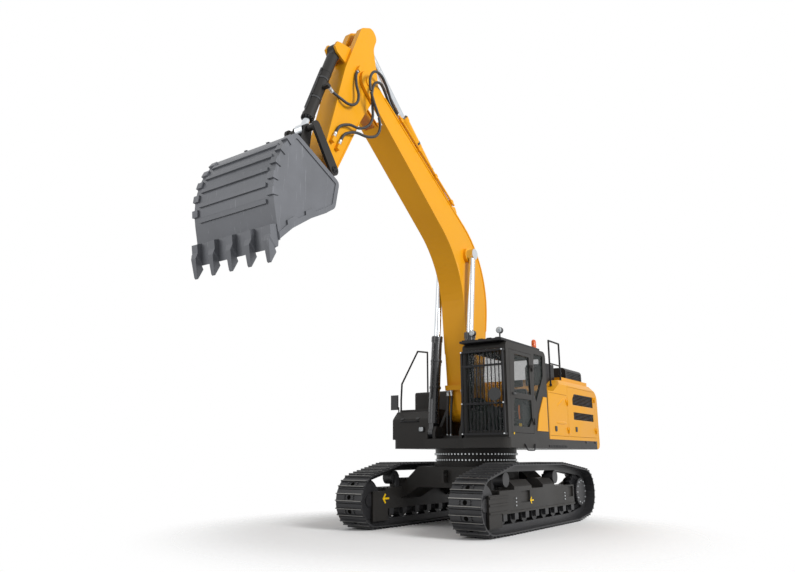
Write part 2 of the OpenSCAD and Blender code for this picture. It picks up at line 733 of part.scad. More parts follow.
hood_rim = 90;
hood_side = 65;
hood_span = [house_rear + hood_rim, house_front - hood_rim - cut];
hood_half = half_w - house_bevel - hood_side;
hood_rise = 45;

module engine_hood() {
  color(yellow) at_frame() difference() {
    block([hood_span[0] - wall, -hood_half - wall, house_top + seat_gap],
      [hood_span[1] + wall, hood_half + wall, house_top + hood_rise + wall]);
    block([hood_span[0], -hood_half, house_top - cut], [hood_span[1], hood_half, house_top + hood_rise]);
  }
}

vent_l = 970;
vent_w = 640;
vent_h = 270;
vent_side = 50;
vent_r = 90;
vent_slots = 5;
vent_slot_h = 20;
vent_slot_depth = 26;

// Cooling air outlet with slots along its outer side
module hood_vent() {
  low = house_top + hood_rise + wall;
  out = hood_half - vent_side;
  section = rounded([[out - vent_w, low], [out, low], [out, low + vent_h], [out - vent_w, low + vent_h]],
    [0, 0, vent_r, vent_r], bend_steps / 2);
  from = hood_span[0] + door_rim;
  pitch = (vent_h - vent_r) / vent_slots;
  color(black) at_frame() difference() {
    along(from, from + vent_l) polygon(section);
    for (i = [0:vent_slots - 1])
      block([from + vent_side, out - vent_slot_depth, low + vent_slot_h + i * pitch],
        [from + vent_l - vent_side, out + cut, low + 2 * vent_slot_h + i * pitch]);
  }
}

cleaner_l = 460;
cleaner_y = [720, 1180];
cleaner_h = 350;
cleaner_drop = 70;

// Black box of the air cleaner behind the cab, on the bay's slanted top
module cleaner_box() {
  rear = house_front - wall;
  front = rear + cleaner_l;
  top = house_top + cleaner_h;
  color(black) at_frame() slab((cleaner_y[0] + cleaner_y[1]) / 2, cleaner_y[1] - cleaner_y[0])
    polygon([[rear, house_top + seat_gap], [bay_slope_x[0], house_top + seat_gap],
      [front, bay_height(front) + seat_gap], [front, top - cleaner_drop], [front - cleaner_drop, top],
      [rear, top]]);
}

// Hinged panel in a wall opening, a gap smaller all round
module panel(span, low, high, y) {
  block([span[0] + door_gap, y, low + door_gap], [span[1] - door_gap, y + wall, high - door_gap]);
}

module left_front_door() {
  color(yellow) at_frame() {
    panel(left_front_span, door_low, left_front_top, half_w - wall);
    for (z = hinge_heights(door_low, left_front_top)) hinge_half(left_front_span[0], half_w, z);
  }
}

grille_in = [120, 280];
grille_rear = house_rear + grille_in[0];
grille_front = house_front - grille_in[1];
grille_high = [2360, 2600];
grille_low = [2050, 2210];
grille_cut = 110;
grille_slat = 12;
grille_pitch = 30;
grille_t = 24;
upper_grille = [[grille_rear, grille_high[0]], [grille_front, grille_high[0]],
  [grille_front, grille_high[1] - grille_cut], [grille_front - grille_cut, grille_high[1]],
  [grille_rear, grille_high[1]]];
lower_grille = [[grille_rear, grille_low[0]], [grille_front - door_rim, grille_low[0]],
  [grille_front - door_rim, grille_low[1]], [grille_rear, grille_low[1]]];

module left_rear_door() {
  color(yellow) at_frame() {
    difference() {
      panel(left_rear_span, door_low, rear_door_top, half_w - wall);
      for (g = [upper_grille, lower_grille]) slab(half_w, 4 * wall) polygon(g);
    }
    for (z = hinge_heights(door_low, rear_door_top)) hinge_half(left_rear_span[0], half_w, z);
  }
}

// Slats in the two openings of the left rear door, on a rim that fills each opening's edge
module door_grilles() {
  color(black) at_frame() for (g = [upper_grille, lower_grille]) slab(half_w - wall / 2, grille_t) {
    difference() {
      polygon(drawn_in(g, seat_gap));
      polygon(drawn_in(g, grille_slat));
    }
    intersection() {
      polygon(drawn_in(g, seat_gap));
      for (z = [g[0].y + grille_pitch:grille_pitch:g[2].y + grille_cut])
        translate([grille_rear, z]) square([grille_front - grille_rear, grille_slat]);
    }
  }
}

module right_door() {
  color(yellow) at_frame() mirror([0, 1, 0]) {
    panel(right_span, door_low, rear_door_top, half_w - wall);
    for (z = hinge_heights(door_low, rear_door_top)) hinge_half(right_span[0], half_w, z);
  }
}

tool_top = 2190;
tool_rim = 70;
tool_slope = 170;
tool_r = 60;
tool_well = well_half + wall;

module tool_box() {
  w = half_w - tool_well;
  profile = rounded([[tank_front, deck_top], [tool_front, deck_top], [tool_front, tool_top - tool_slope],
    [tool_front - tool_slope, tool_top], [tank_front, tool_top]], [0, 0, tool_r, tool_r, 0], bend_steps / 2);
  color(dark_grey) at_frame() difference() {
    slab(-tool_well - w / 2, w) polygon(profile);
    block([tank_front + wall, tool_rim - half_w, deck_top + wall],
      [tool_front - tool_slope - wall, -tool_well - wall, tool_top + cut]);
  }
}

module tool_box_lid() {
  color(dark_grey) at_frame()
    block([tank_front + door_gap, tool_rim - wall / 2 - half_w, tool_top + seat_gap],
      [tool_front - tool_slope - door_edge, -tool_well, tool_top + wall]);
}

module fuel_tank() {
  front = tank_front - seat_gap;
  rear = house_front + run_gap;
  w = half_w - tool_well;
  profile = rounded([[rear, deck_top], [front, deck_top], [front, tank_top], [rear, tank_top]],
    [0, 0, tool_r, tool_r], bend_steps / 2);
  color(dark_grey) at_frame() difference() {
    slab(-tool_well - w / 2, w) polygon(profile);
    slab(-tool_well - w / 2, w - 2 * wall) polygon(drawn_in(profile, wall));
  }
}

rail_r = 19;
left_rail_y = half_w - house_bevel - 1.6 * rail_r;
left_rail_reach = 310;
left_rail_xs = [hood_span[1] + wall + 1.9 * rail_r, bay_slope_x[0] + left_rail_reach];
left_rail_top = 3660;
left_rail_mid = 3180;
right_rail_y = 1.3 * rail_r - half_w;
right_rail_foot = 590;
right_rail_knee = [560, 2790];
right_rail_rise = [-60, 3570];
right_rail_end = [-460, 3600];
right_rail_step = 2440;

module handrails() {
  y = left_rail_y;
  r = right_rail_y;
  rear_foot = house_top + rail_r;
  front_foot = bay_height(left_rail_xs[1]) + rail_r;
  color(black) at_frame() {
    rail([[left_rail_xs[1], y, front_foot], [left_rail_xs[1], y, left_rail_top],
      [left_rail_xs[0], y, left_rail_top], [left_rail_xs[0], y, rear_foot]], rail_r);
    bar([left_rail_xs[0], y, left_rail_mid], [left_rail_xs[1], y, left_rail_mid], rail_r * 0.8);
    rail([[right_rail_foot, r, tool_top], [right_rail_foot, r, right_rail_step],
      [right_rail_knee.x, r, right_rail_knee.y], [right_rail_rise.x, r, right_rail_rise.y],
      [right_rail_end.x, r, right_rail_end.y], [right_rail_end.x, r, tank_top]], rail_r);
    for (x = left_rail_xs) translate([x, y, bay_height(x - rail_r * 1.5) + seat_gap])
      cylinder(r = rail_r * 1.5, h = 2 * rail_r);
  }
}

mirror_r = 115;
mirror_t = 34;
mirror_z = 2360;
mirror_y = 1310;
mirror_reach = 80;
right_mirror_x = 680;
right_mirror_size = [34, 170, 300];
right_mirror_lift = 90;
right_mirror_reach = 240;

module mirrors() {
  front = cab_front + guard_out + guard_bar + seat_gap;
  post = [right_mirror_x, right_rail_y, tool_top];
  elbow = post + [0, 0, right_mirror_lift];
  tip = elbow + [right_mirror_reach, 0, right_mirror_lift];
  color(black) at_frame() {
    rail([[front, mirror_y, guard_zs[1]], [front + mirror_reach, mirror_y, guard_zs[1]],
      [front + mirror_reach, mirror_y, mirror_z]], rail_r * 0.7);
    translate([front + mirror_reach, mirror_y, mirror_z]) rotate([0, 90, 0])
      cylinder(r = mirror_r, h = mirror_t, center = true);
    rail([post, elbow, tip], rail_r * 0.7);
    block(tip - [right_mirror_size.x / 2, rail_r, right_mirror_size.z / 2],
      tip + [right_mirror_size.x / 2, right_mirror_size.y - rail_r, right_mirror_size.z / 2]);
  }
}

// Cab

cab_roof_r = 90;
cab_rear_r = 120;
cab_profile = [[cab_rear, deck_top], [cab_front, deck_top], [cab_front, cab_roof], [cab_rear, cab_roof]];
cab_outline = rounded(cab_profile, [0, 0, cab_roof_r, cab_rear_r], bend_steps / 2);
// Points given as shares of the cab's length and height
function in_cab(shares) = [for (q = shares) [cab_rear + q.x * cab_l, deck_top + q.y * cab_h]];
door_rear = 370;
post_w = 130;
cab_sill_h = 80;
door_front = cab_front - post_w;
door_sill = deck_top + cab_sill_h;
door_head = cab_roof - post_w;
waist = 2370;
window_sill = 120;
window_head = 120;
side_window_drop = 250;
quarter_window = in_cab([[0.32, 0.9415], [0.079, 0.9415], [0.096, 0.702], [0.303, 0.404], [0.355, 0.468]]);
upper_door_window = in_cab([[0.832, 0.468], [0.803, 0.883], [0.449, 0.883], [0.433, 0.468]]);
lower_door_window = in_cab([[0.871, 0.117], [0.837, 0.409], [0.433, 0.409], [0.427, 0.205], [0.5, 0.117]]);
side_panel = in_cab([[0.034, 0.468], [0.034, 0.082], [0.315, 0.082], [0.258, 0.263], [0.124, 0.468]]);
side_panel_t = 12;

module cab_shell() {
  mid = (cab_left + cab_right) / 2;
  color(dark_grey) at_frame() {
    for (z = hinge_heights(door_sill, door_head)) hinge_seat(door_rear, cab_left, z);
    difference() {
      slab(mid, cab_w) polygon(cab_outline);
      slab(mid, cab_w - 2 * cab_wall) polygon(drawn_in(cab_outline, cab_wall));
      // Front window
      block([cab_front - cab_wall - cut, cab_right + 2 * cab_wall, deck_top + window_sill],
        [cab_front + cut, cab_left - 2 * cab_wall, cab_roof - window_head]);
      // Door opening
      block([door_rear, cab_left - cab_wall - cut, door_sill], [door_front, cab_left + cut, door_head]);
      slab(cab_left, 4 * cab_wall) polygon(quarter_window);
      // Right window
      block([cab_rear + post_w, cab_right - cut, waist - side_window_drop],
        [cab_front - post_w, cab_right + cab_wall + cut, door_head]);
      // Rear window
      block([cab_rear - cut, cab_right + post_w, waist],
        [cab_rear + cab_wall + cut, cab_left - post_w, door_head]);
    }
  }
}

module cab_side_panel() {
  color(yellow) at_frame() slab(cab_left + seat_gap + side_panel_t / 2, side_panel_t) polygon(side_panel);
}

module cab_door() {
  g = door_gap;
  color(dark_grey) at_frame() {
    for (z = hinge_heights(door_sill, door_head)) hinge_half(door_rear, cab_left, z);
    difference() {
      block([door_rear + g, cab_left - cab_wall, door_sill + g], [door_front - g, cab_left, door_head - g]);
      for (w = [upper_door_window, lower_door_window]) slab(cab_left, 4 * cab_wall) polygon(w);
    }
  }
}

module door_glass() {
  color(glass_tint, 0.4) at_frame() for (w = [upper_door_window, lower_door_window])
    slab(cab_left - cab_wall / 2, pane_t) polygon(drawn_in(w, seat_gap));
}

module cab_glass() {
  g = seat_gap;
  mid = (cab_wall + pane_t) / 2;
  color(glass_tint, 0.4) at_frame() {
    block([cab_front - mid, cab_right + 2 * cab_wall + g, deck_top + window_sill + g],
      [cab_front - mid + pane_t, cab_left - 2 * cab_wall - g, cab_roof - window_head - g]);
    slab(cab_left - cab_wall / 2, pane_t) polygon(drawn_in(quarter_window, g));
    block([cab_rear + post_w + g, cab_right + mid - pane_t, waist - side_window_drop + g],
      [cab_front - post_w - g, cab_right + mid, door_head - g]);
    block([cab_rear + mid - pane_t, cab_right + post_w + g, waist + g],
      [cab_rear + mid, cab_left - post_w - g, door_head - g]);
  }
}

guard_out = 70;
guard_bar = 36;
guard_rod_r = 10;
guard_rods = 10;
guard_side = 12;
guard_lift = 40;
guard_drop = 150;
guard_low = deck_top + guard_lift;
guard_high = cab_roof - guard_drop;
guard_shares = [0, 0.36, 0.82, 1];
guard_zs = [for (q = guard_shares) guard_low + q * (guard_high - guard_bar - guard_low) + guard_bar / 2];

// Cage of upright rods on two posts and four cross bars before the windscreen
module front_guard() {
  x = cab_front + guard_out;
  left = cab_left - guard_side;
  right = cab_right + guard_side;
  pitch = (left - right - guard_bar) / (guard_rods + 1);
  color(black) at_frame() {
    for (y = [right, left - guard_bar]) {
      block([x, y, guard_low], [x + guard_bar, y + guard_bar, guard_high]);
      for (z = [guard_zs[0], guard_zs[3]]) block([cab_front + seat_gap, y, z - guard_bar / 2],
        [x + guard_bar, y + guard_bar, z + guard_bar / 2]);
    }
    for (z = guard_zs) block([x, right, z - guard_bar / 2], [x + guard_bar, left, z + guard_bar / 2]);
    for (i = [1:guard_rods]) bar([x + guard_bar / 2, right + guard_bar / 2 + i * pitch, guard_zs[0]],
      [x + guard_bar / 2, right + guard_bar / 2 + i * pitch, guard_zs[3]], guard_rod_r);
  }
}

visor_out = 130;
visor_t = 42;
visor_side = 15;
visor_rear = 230;
visor_ribs = 5;
visor_rib_h = 16;

module roof_guard() {
  pitch = (cab_w - 2 * visor_side) / visor_ribs;
  color(black) at_frame() {
    block([cab_rear + visor_rear, cab_right + visor_side, cab_roof],
      [cab_front + visor_out, cab_left - visor_side, cab_roof + visor_t]);
    for (i = [0:visor_ribs - 1]) block([cab_rear + visor_rear + visor_side,
      cab_right + visor_side + pitch * (i + 0.25), cab_roof + visor_t / 2],
      [cab_front + visor_out - visor_side, cab_right + visor_side + pitch * (i + 0.75),
      cab_roof + visor_t + visor_rib_h]);
  }
}

lamp_r = 58;
lamp_l = 70;
lamp_lift = 130;
lamp_post_r = 14;
lamp_in = [250, 85];
lamp_ys = [cab_right + lamp_in[0], cab_left - lamp_in[1]];
lamp_back = 30;
beacon_r = 48;
beacon_h = 120;
beacon_in = 160;

module lamps() {
  z = cab_roof + visor_t + visor_rib_h + lamp_lift;
  x = cab_front + visor_out / 2 - lamp_back;
  color(black) at_frame() for (y = lamp_ys) {
    translate([x, y, z]) rotate([0, 90, 0]) cylinder(r = lamp_r, h = lamp_l, center = true);
    translate([x, y, z - lamp_lift + seat_gap]) cylinder(r = lamp_post_r, h = lamp_lift);
  }
}

module beacon() {
  color(beacon_orange) at_frame() translate([cab_rear + beacon_in, cab_left - beacon_in, cab_roof + seat_gap])
    cylinder(r = beacon_r, h = beacon_h);
}

seat_x = 100;
// Widths of the seat's cushion, base and back, and of a console and its place, as shares of the cab's room
seat_shares = [0.596, 0.422, 0.571];
console_shares = [0.149, 0.385];
cab_room = cab_left - cab_right - 2 * cab_wall;
seat_size = [480, seat_shares[0] * cab_room, 140];
seat_base = [360, seat_shares[1] * cab_room, 330];
seat_back = [110, seat_shares[2] * cab_room, 640];
console_size = [460, console_shares[0] * cab_room, 560];
console_x = 220;
console_out = console_shares[1] * cab_room;

module seat() {
  low = [seat_x, (cab_left + cab_right) / 2, deck_top + cab_wall];
  color(black) at_frame() {
    translate(low + [door_rim, -seat_base.y / 2, 0]) cube(seat_base);
    translate(low + [0, -seat_size.y / 2, seat_base.z]) cube(seat_size);
    translate(low + [-seat_back.x / 2, -seat_back.y / 2, seat_base.z]) cube(seat_back + [0, 0, seat_size.z]);
  }
}

module consoles() {
  low = [console_x, (cab_left + cab_right) / 2, deck_top + cab_wall];
  color(black) at_frame() for (s = [-1, 1])
    translate(low + [0, s * console_out - console_size.y / 2, 0]) cube(console_size);
}

// Working gear

// Edge of a welded box's top and bottom plates, which stand out past its side plates
module lip(outline, t, w, span) {
  intersection() {
    slab(0, w) difference() {
      polygon(outline);
      polygon(drawn_in(outline, t));
    }
    block([span[0], -w, -span[1]], [span[1], w, span[1]]);
  }
}

clamp_s = [400, 500];
clamp_h = 104;
under_from = boom_shares[0] * boom_l;
under_a = heading(under_from, boom_shares[1] * boom_l);

// Block on the boom's underside that takes the foot hoses
module hose_clamp() {
  pose(under_from, under_a)
    block([clamp_s[0], -swivel_half, -clamp_h], [clamp_s[1], swivel_half, boom_plate / 2]);
}

module boom() {
  half = boom_w / 2;
  inner = drawn_in(boom_outline, boom_plate);
  slot_x = boom_l - nose_slot_l;
  color(yellow) at_frame() {
    pose(boom_foot, boom_angle) difference() {
      union() {
        slab(0, boom_w) polygon(boom_outline);
        pin([0, 0], foot_r, 2 * boom_foot_half);
        pin([boom_l, 0], nose_r, boom_w);
        pin(boom_eye_shares * boom_l, boom_eye_boss_r, 2 * (cylinder_y - boom_rod_eye_w / 2 - seat_gap));
        lip(boom_outline, boom_lip_t, boom_w + 2 * boom_lip, boom_lip_span_shares * boom_l);
        both_sides() pin([boom_l, 0], collar_r, collar_t, half + collar_t / 2);
        hose_clamp();
      }
      difference() {
        slab(0, boom_w - 2 * boom_plate) polygon(inner);
        pin([0, 0], foot_r + boom_plate, boom_w);
        pin([boom_l, 0], nose_r + boom_plate, boom_w);
        pin(boom_eye_shares * boom_l, boom_eye_boss_r, boom_w);
      }
      pin([0, 0], foot_pin_r + seat_gap, 3 * boom_w);
      block([slot_x, -nose_slot_half, -boom_l], [boom_l + boom_l, nose_slot_half, boom_l]);
    }
    pin(boom_nose, nose_pin_r, boom_w + cut);
    boom_cylinder_ears();
  }
}

arm_ear_t = 40;
boom_ear_r = 120;
arm_ear_y = arm_eye_w / 2 + run_gap + arm_ear_t / 2;

// Ears on the boom's back that carry the arm cylinder
module boom_cylinder_ears() {
  r = boom_ear_r;
  pose(boom_foot, boom_angle) {
    foot = arm_cylinder_base_shares * boom_l;
    both_sides() slab(arm_ear_y, arm_ear_t) polygon([foot + [-3.2 * r, -2.2 * r], foot + [-r, 0.3 * r],
      foot + [-0.5 * r, r], foot + [0.5 * r, r], foot + [0.9 * r, 0.2 * r], foot + [0.3 * r, -3.2 * r]]);
    pin(foot, cylinder_pin_r, 2 * arm_ear_y + arm_ear_t);
  }
}

pipe_r = 22;
pipe_rise = 46;
pipe_clamp_l = 70;
pipe_y = boom_w / 2 - pipe_r - wall / 6;
pipe_pitch = 57;
pipe_clamps = 4;
boom_top_from = boom_shares[6] * boom_l;
boom_top_to = boom_shares[5] * boom_l;
boom_top_a = heading(boom_top_from, boom_top_to);
pipe_run_shares = [0.4, 0.87];
pipe_run = pipe_run_shares * norm(boom_top_to - boom_top_from);

// Pipes along the boom's straight top edge, on clamps
module boom_pipes() {
  step = (pipe_run[1] - pipe_run[0] - pipe_clamp_l) / (pipe_clamps - 1);
  color(yellow) at_frame() pose(boom_foot, boom_angle)
    pose(boom_top_from, boom_top_a) both_sides() {
      for (y = [pipe_y, pipe_y + pipe_pitch])
        bar([pipe_run[0] - pipe_clamp_l, y, pipe_rise], [pipe_run[1] + pipe_clamp_l, y, pipe_rise], pipe_r);
      for (i = [0:pipe_clamps - 1])
        translate([pipe_run[0] + i * step, 0, 0]) block([0, pipe_y - pipe_r * 1.2, seat_gap],
          [pipe_clamp_l, pipe_y + pipe_pitch + pipe_r * 1.2, pipe_rise + pipe_r * 1.2]);
    }
}

boom_lamp_share = 0.52;
boom_lamp_size = [110, 130, 110];
boom_lamp_y = 40;
boom_lamp_r = 30;

// Work lamp on the boom's top plate, with a rounded back
module boom_lamp() {
  s = boom_lamp_share * norm(boom_top_to - boom_top_from);
  side = rounded([[s, seat_gap], [s + boom_lamp_size.x, seat_gap], [s + boom_lamp_size.x, boom_lamp_size.z],
    [s, boom_lamp_size.z]], [0, 0, 0, boom_lamp_r], bend_steps / 2);
  color(black) at_frame() pose(boom_foot, boom_angle) pose(boom_top_from, boom_top_a)
    slab(boom_lamp_y + boom_lamp_size.y / 2, boom_lamp_size.y) polygon(side);
}

// Hoses: a route's points, the smooth curve through them and the tube swept along it
function unit(v) = v / norm(v);
function between(p, q, r, s, t) = (2 * q + (r - p) * t + (2 * p - 5 * q + 4 * r - s) * t * t
  + (3 * q - p - 3 * r + s) * t * t * t) / 2;
function curve(route, steps) = let (n = len(route) - 1) concat([for (i = [0:n - 1]) for (k = [0:steps - 1])
  between(route[max(i - 1, 0)], route[i], route[i + 1], route[min(i + 2, n)], k / steps)], [route[n]]);
function hose_ring(p, t, r) = let (side = unit([0, 1, 0] - t.y * t), up = cross(t, side))
  [for (k = [0:hose_sides - 1]) p + r * (cos(k * 360 / hose_sides) * side + sin(k * 360 / hose_sides) * up)];
hose_sides = 10;
hose_steps = 2;

module hose(route, r, steps = hose_steps) {
  path = curve(route, steps);
  n = len(path) - 1;
  m = len(route) - 1;
  tangents = [for (i = [0:n]) unit(i == 0 ? route[1] - route[0]
    : i == n ? route[m] - route[m - 1] : path[i + 1] - path[i - 1])];
  points = [for (i = [0:n]) each hose_ring(path[i], tangents[i], r)];
  h = hose_sides;
  sides = [for (i = [0:n - 1]) for (k = [0:h - 1]) each [
    [i * h + k, (i + 1) * h + (k + 1) % h, i * h + (k + 1) % h],
    [i * h + k, (i + 1) * h + k, (i + 1) * h + (k + 1) % h]]];
  polyhedron(points, concat(sides, [[for (k = [0:h - 1]) k], [for (k = [0:h - 1]) n * h + h - 1 - k]]));
}

// Point [along, y, up] of the frame at p in X and Z that is turned up by a
function spot(p, a, q) = let (w = at(p, a, [q.x, q.z])) [w.x, q.y, w.y];
// The same in the frames of the boom's top edge, its underside and the arm
function on_top(q) = spot(at(boom_foot, boom_angle, boom_top_from), boom_angle + boom_top_a, q);
function on_under(q) = spot(at(boom_foot, boom_angle, under_from), boom_angle + under_a, q);
function on_arm(q) = spot(boom_nose, arm_angle, q);

hose_r = 24;
foot_hose_ys = [-205, -125, 125, 205];
foot_hose_x = 760;
foot_hose_bend = [[760, 1830], [752, 2030], [725, 2230]];
foot_hose_lead = 150;
pipe_end = pipe_run[1] + pipe_clamp_l + seat_gap;
hose_lead = 110;
arm_port_shares = [[0.64, 0.018], [0.63, 0.076]];
arm_port_l = 110;
arm_port_w = 64;
arm_port_out = 70;
upper_hose_bend = [[3370, 295, 7625], [3600, 360, 7780], [3820, 405, 7885], [4040, 425, 7855],
  [4165, 425, 7690], [4150, 415, 7470], [4030, 405, 7260], [3890, 395, 7070], [3830, 385, 6860],
  [3920, 365, 6680], [4130, 330, 6590], [4370, 280, 6580], [4585, 235, 6480]];
lower_hose_bend = [[3370, 235, 7620], [3560, 285, 7730], [3760, 335, 7785], [3940, 350, 7700],
  [4020, 350, 7490], [4000, 345, 7240], [3980, 335, 7010], [4090, 320, 6810], [4290, 290, 6690],
  [4510, 260, 6670], [4713, 232, 6570]];
bucket_hose_start_shares = [-0.02, 0.115];
bucket_hose_bend = [[370, 255, 235], [530, 290, 140], [690, 300, 105], [820, 285, 150],
  [900, 270, 250], [925, 245, 370]];
bucket_port_share = 0.5;
bucket_port = [60, 120, 70];

// Hose from the swivel block to the clamp under the boom
module foot_hose(y) {
  z = -clamp_h * 0.6;
  color(black) at_frame() hose(concat([[foot_hose_x, y, swivel_top + seat_gap]],
    [for (q = foot_hose_bend) [q.x, y, q.y]],
    [on_under([clamp_s[0] - foot_hose_lead, y, z]), on_under([clamp_s[0] - seat_gap, y, z])]), hose_r, 1);
}

module foot_hose_1() foot_hose(foot_hose_ys[0]);
module foot_hose_2() foot_hose(foot_hose_ys[1]);
module foot_hose_3() foot_hose(foot_hose_ys[2]);
module foot_hose_4() foot_hose(foot_hose_ys[3]);

// Loop from one of the boom's pipes to a port on the arm's left side
module arm_hose(y, bend, shares) {
  port = shares * arm_l;
  lead = [for (s = [pipe_end, pipe_end + hose_lead]) on_top([s, y, pipe_rise])];
  end = [for (u = [port.x - hose_lead, port.x - seat_gap]) on_arm([u, arm_w / 2 + arm_port_out / 2, port.y])];
  color(black) at_frame() hose(concat(lead, bend, end), hose_r);
}

module arm_hose_upper() arm_hose(pipe_y + pipe_pitch, upper_hose_bend, arm_port_shares[0]);
module arm_hose_lower() arm_hose(pipe_y, lower_hose_bend, arm_port_shares[1]);

// Loop from the arm's left side to the port on the bucket cylinder
module bucket_hose() {
  start = bucket_hose_start_shares * arm_l;
  y = arm_w / 2 + arm_port_out / 2;
  s = bucket_port_share * bucket_cylinder_l;
  out = bucket_cylinder_d / 2 + bucket_port.y - 1.3 * hose_r;
  low = -bucket_port.z / 2 - seat_gap;
  from = start.x + arm_port_l + seat_gap;
  color(black) at_frame() hose(concat([for (u = [from, from + hose_lead]) on_arm([u, y, start.y])],
    [for (q = bucket_hose_bend) on_arm(q)],
    [spot(bucket_base, bucket_cylinder_a, [s, out, low - hose_lead]),
      spot(bucket_base, bucket_cylinder_a, [s, out, low])]), hose_r);
}

// Block with a port for a hose, on the arm's left side at a share of its length
module arm_port(shares) {
  p = shares * arm_l;
  block([p.x, arm_w / 2 - arm_plate / 2, p.y - arm_port_w / 2],
    [p.x + arm_port_l, arm_w / 2 + arm_port_out, p.y + arm_port_w / 2]);
}

neck_share = 0.75;
tube_start_share = 1.5;
bore_start_share = 1.6;
gland_l = 90;
band_l = 36;
band_shares = [0.34, 0.7];

// Hydraulic cylinder tube: eye at the frame's origin, gland at length l
module tube(r, l, eye_r, eye_w, pin_r, rod_r) {
  difference() {
    union() {
      pin([0, 0], eye_r, eye_w);
      block([0, -eye_w / 2, -eye_r * neck_share], [eye_r * tube_start_share, eye_w / 2, eye_r * neck_share]);
      translate([eye_r * tube_start_share, 0, 0]) rotate([0, 90, 0])
        cylinder(r = r, h = l - eye_r * tube_start_share);
      translate([l - gland_l, 0, 0]) rotate([0, 90, 0]) cylinder(r = r * 1.1, h = gland_l);
      for (q = band_shares) translate([l * q, 0, 0]) rotate([0, 90, 0]) cylinder(r = r * 1.04, h = band_l);
    }
    pin([0, 0], pin_r + seat_gap, 2 * eye_w);
    translate([eye_r * bore_start_share, 0, 0]) rotate([0, 90, 0]) cylinder(r = rod_r + seat_gap, h = l);
  }
}

// Piston rod: eye at length l, inner end at length from
module piston_rod(from, l, eye_r, eye_w, rod_r, hole_r) {
  difference() {
    union() {
      translate([from, 0, 0]) rotate([0, 90, 0]) cylinder(r = rod_r, h = l - from);
      pin([l, 0], eye_r, eye_w);
    }
    if (hole_r > 0) pin([l, 0], hole_r, 2 * eye_w);
  }
}

boom_cylinder_l = norm(boom_eye - boom_cylinder_base);
boom_cylinder_a = heading(boom_cylinder_base, boom_eye);
boom_tube_share = 0.53;
boom_rod_r = 68;
boom_rod_in_share = 0.39;

module boom_barrels() {
  color(black) at_frame() both_sides() translate([0, cylinder_y, 0])
    pose(boom_cylinder_base, boom_cylinder_a)
      tube(boom_cylinder_d / 2, boom_cylinder_l * boom_tube_share, cylinder_eye_r, cylinder_eye_w,
        cylinder_pin_r, boom_rod_r);
}

module boom_rods() {
  color(bright) at_frame() both_sides() translate([0, cylinder_y, 0])
    pose(boom_cylinder_base, boom_cylinder_a)
      piston_rod(boom_cylinder_l * boom_rod_in_share, boom_cylinder_l, cylinder_eye_r, boom_rod_eye_w,
        boom_rod_r, 0);
}

arm_ear_r = 130;
arm_ear_foot_shares = [0.2, 0.18];
arm_lip = 10;
arm_lip_t = 30;
arm_lip_span_shares = [0.33, 0.8];

module arm() {
  inner = drawn_in(arm_outline, arm_plate);
  slot_w = arm_eye_w + 2 * run_gap;
  base = bucket_base_shares * arm_l;
  r = arm_ear_r;
  color(yellow) at_frame() pose(boom_nose, arm_angle) {
    difference() {
      union() {
        slab(0, arm_w) polygon(arm_outline);
        pin([0, 0], nose_r, 2 * arm_boss_half);
        lip(arm_outline, arm_lip_t, arm_w + 2 * arm_lip, arm_lip_span_shares * arm_l);
        for (q = arm_port_shares) arm_port(q);
        arm_port(bucket_hose_start_shares);
      }
      difference() {
        slab(0, arm_w - 2 * arm_plate) polygon(inner);
        pin([0, 0], nose_r + arm_plate, arm_w);
        pin([arm_l, 0], nose_r, arm_w);
        pin(rocker_pin_shares * arm_l, r, arm_w);
        block([-arm_l, -arm_w, -arm_l], [-arm_l * arm_slot_share + arm_plate, arm_w, arm_l]);
      }
      pin([0, 0], nose_pin_r + seat_gap, 3 * arm_w);
      pin([arm_l, 0], bucket_pin_r + seat_gap, 3 * arm_w);
      block([-arm_l, -slot_w / 2, -arm_l], [-arm_l * arm_slot_share, slot_w / 2, arm_l]);
    }
    both_sides() slab(arm_ear_y, arm_ear_t) polygon([[base.x - 2.2 * r, arm_l * arm_ear_foot_shares[0]],
      base + [-r, 0.3 * r], base + [-0.5 * r, 0.9 * r], base + [0.5 * r, 0.9 * r], base + [0.9 * r, 0.2 * r],
      [base.x + 0.9 * r, arm_l * arm_ear_foot_shares[1]]]);
    pin(base, cylinder_pin_r, 2 * arm_ear_y + arm_ear_t);
    pin(rocker_pin_shares * arm_l, rocker_r, 2 * (rocker_y - rocker_t / 2 - seat_gap));
    pin(rocker_pin_shares * arm_l, cylinder_pin_r, 2 * rocker_y + rocker_t);
  }
}

arm_cylinder_l = norm(arm_eye - arm_cylinder_base);
arm_cylinder_a = heading(arm_cylinder_base, arm_eye);
arm_tube_share = 0.57;
arm_rod_in_share = 0.435;
arm_rod_r = 72;

module arm_barrel() {
  color(yellow) at_frame() pose(arm_cylinder_base, arm_cylinder_a)
    tube(arm_cylinder_d / 2, arm_cylinder_l * arm_tube_share, cylinder_eye_r, arm_eye_w,
      cylinder_pin_r, arm_rod_r);
}

module arm_rod() {
  color(bright) at_frame() pose(arm_cylinder_base, arm_cylinder_a)
    piston_rod(arm_cylinder_l * arm_rod_in_share, arm_cylinder_l, cylinder_eye_r, arm_eye_w, arm_rod_r, 0);
}

bucket_cylinder_l = norm(link_pin - bucket_base);
bucket_cylinder_a = heading(bucket_base, link_pin);
bucket_tube_share = 0.86;
bucket_rod_in_share = 0.148;
bucket_rod_r = 62;

module bucket_barrel() {
  r = bucket_cylinder_d / 2;
  s = bucket_cylinder_l * bucket_port_share;
  color(dark_grey) at_frame() pose(bucket_base, bucket_cylinder_a) {
    tube(r, bucket_cylinder_l * bucket_tube_share, cylinder_eye_r, arm_eye_w, cylinder_pin_r, bucket_rod_r);
    block([s - bucket_port.x / 2, bucket_rod_r + cut, -bucket_port.z / 2],
      [s + bucket_port.x / 2, r + bucket_port.y, bucket_port.z / 2]);
  }
}

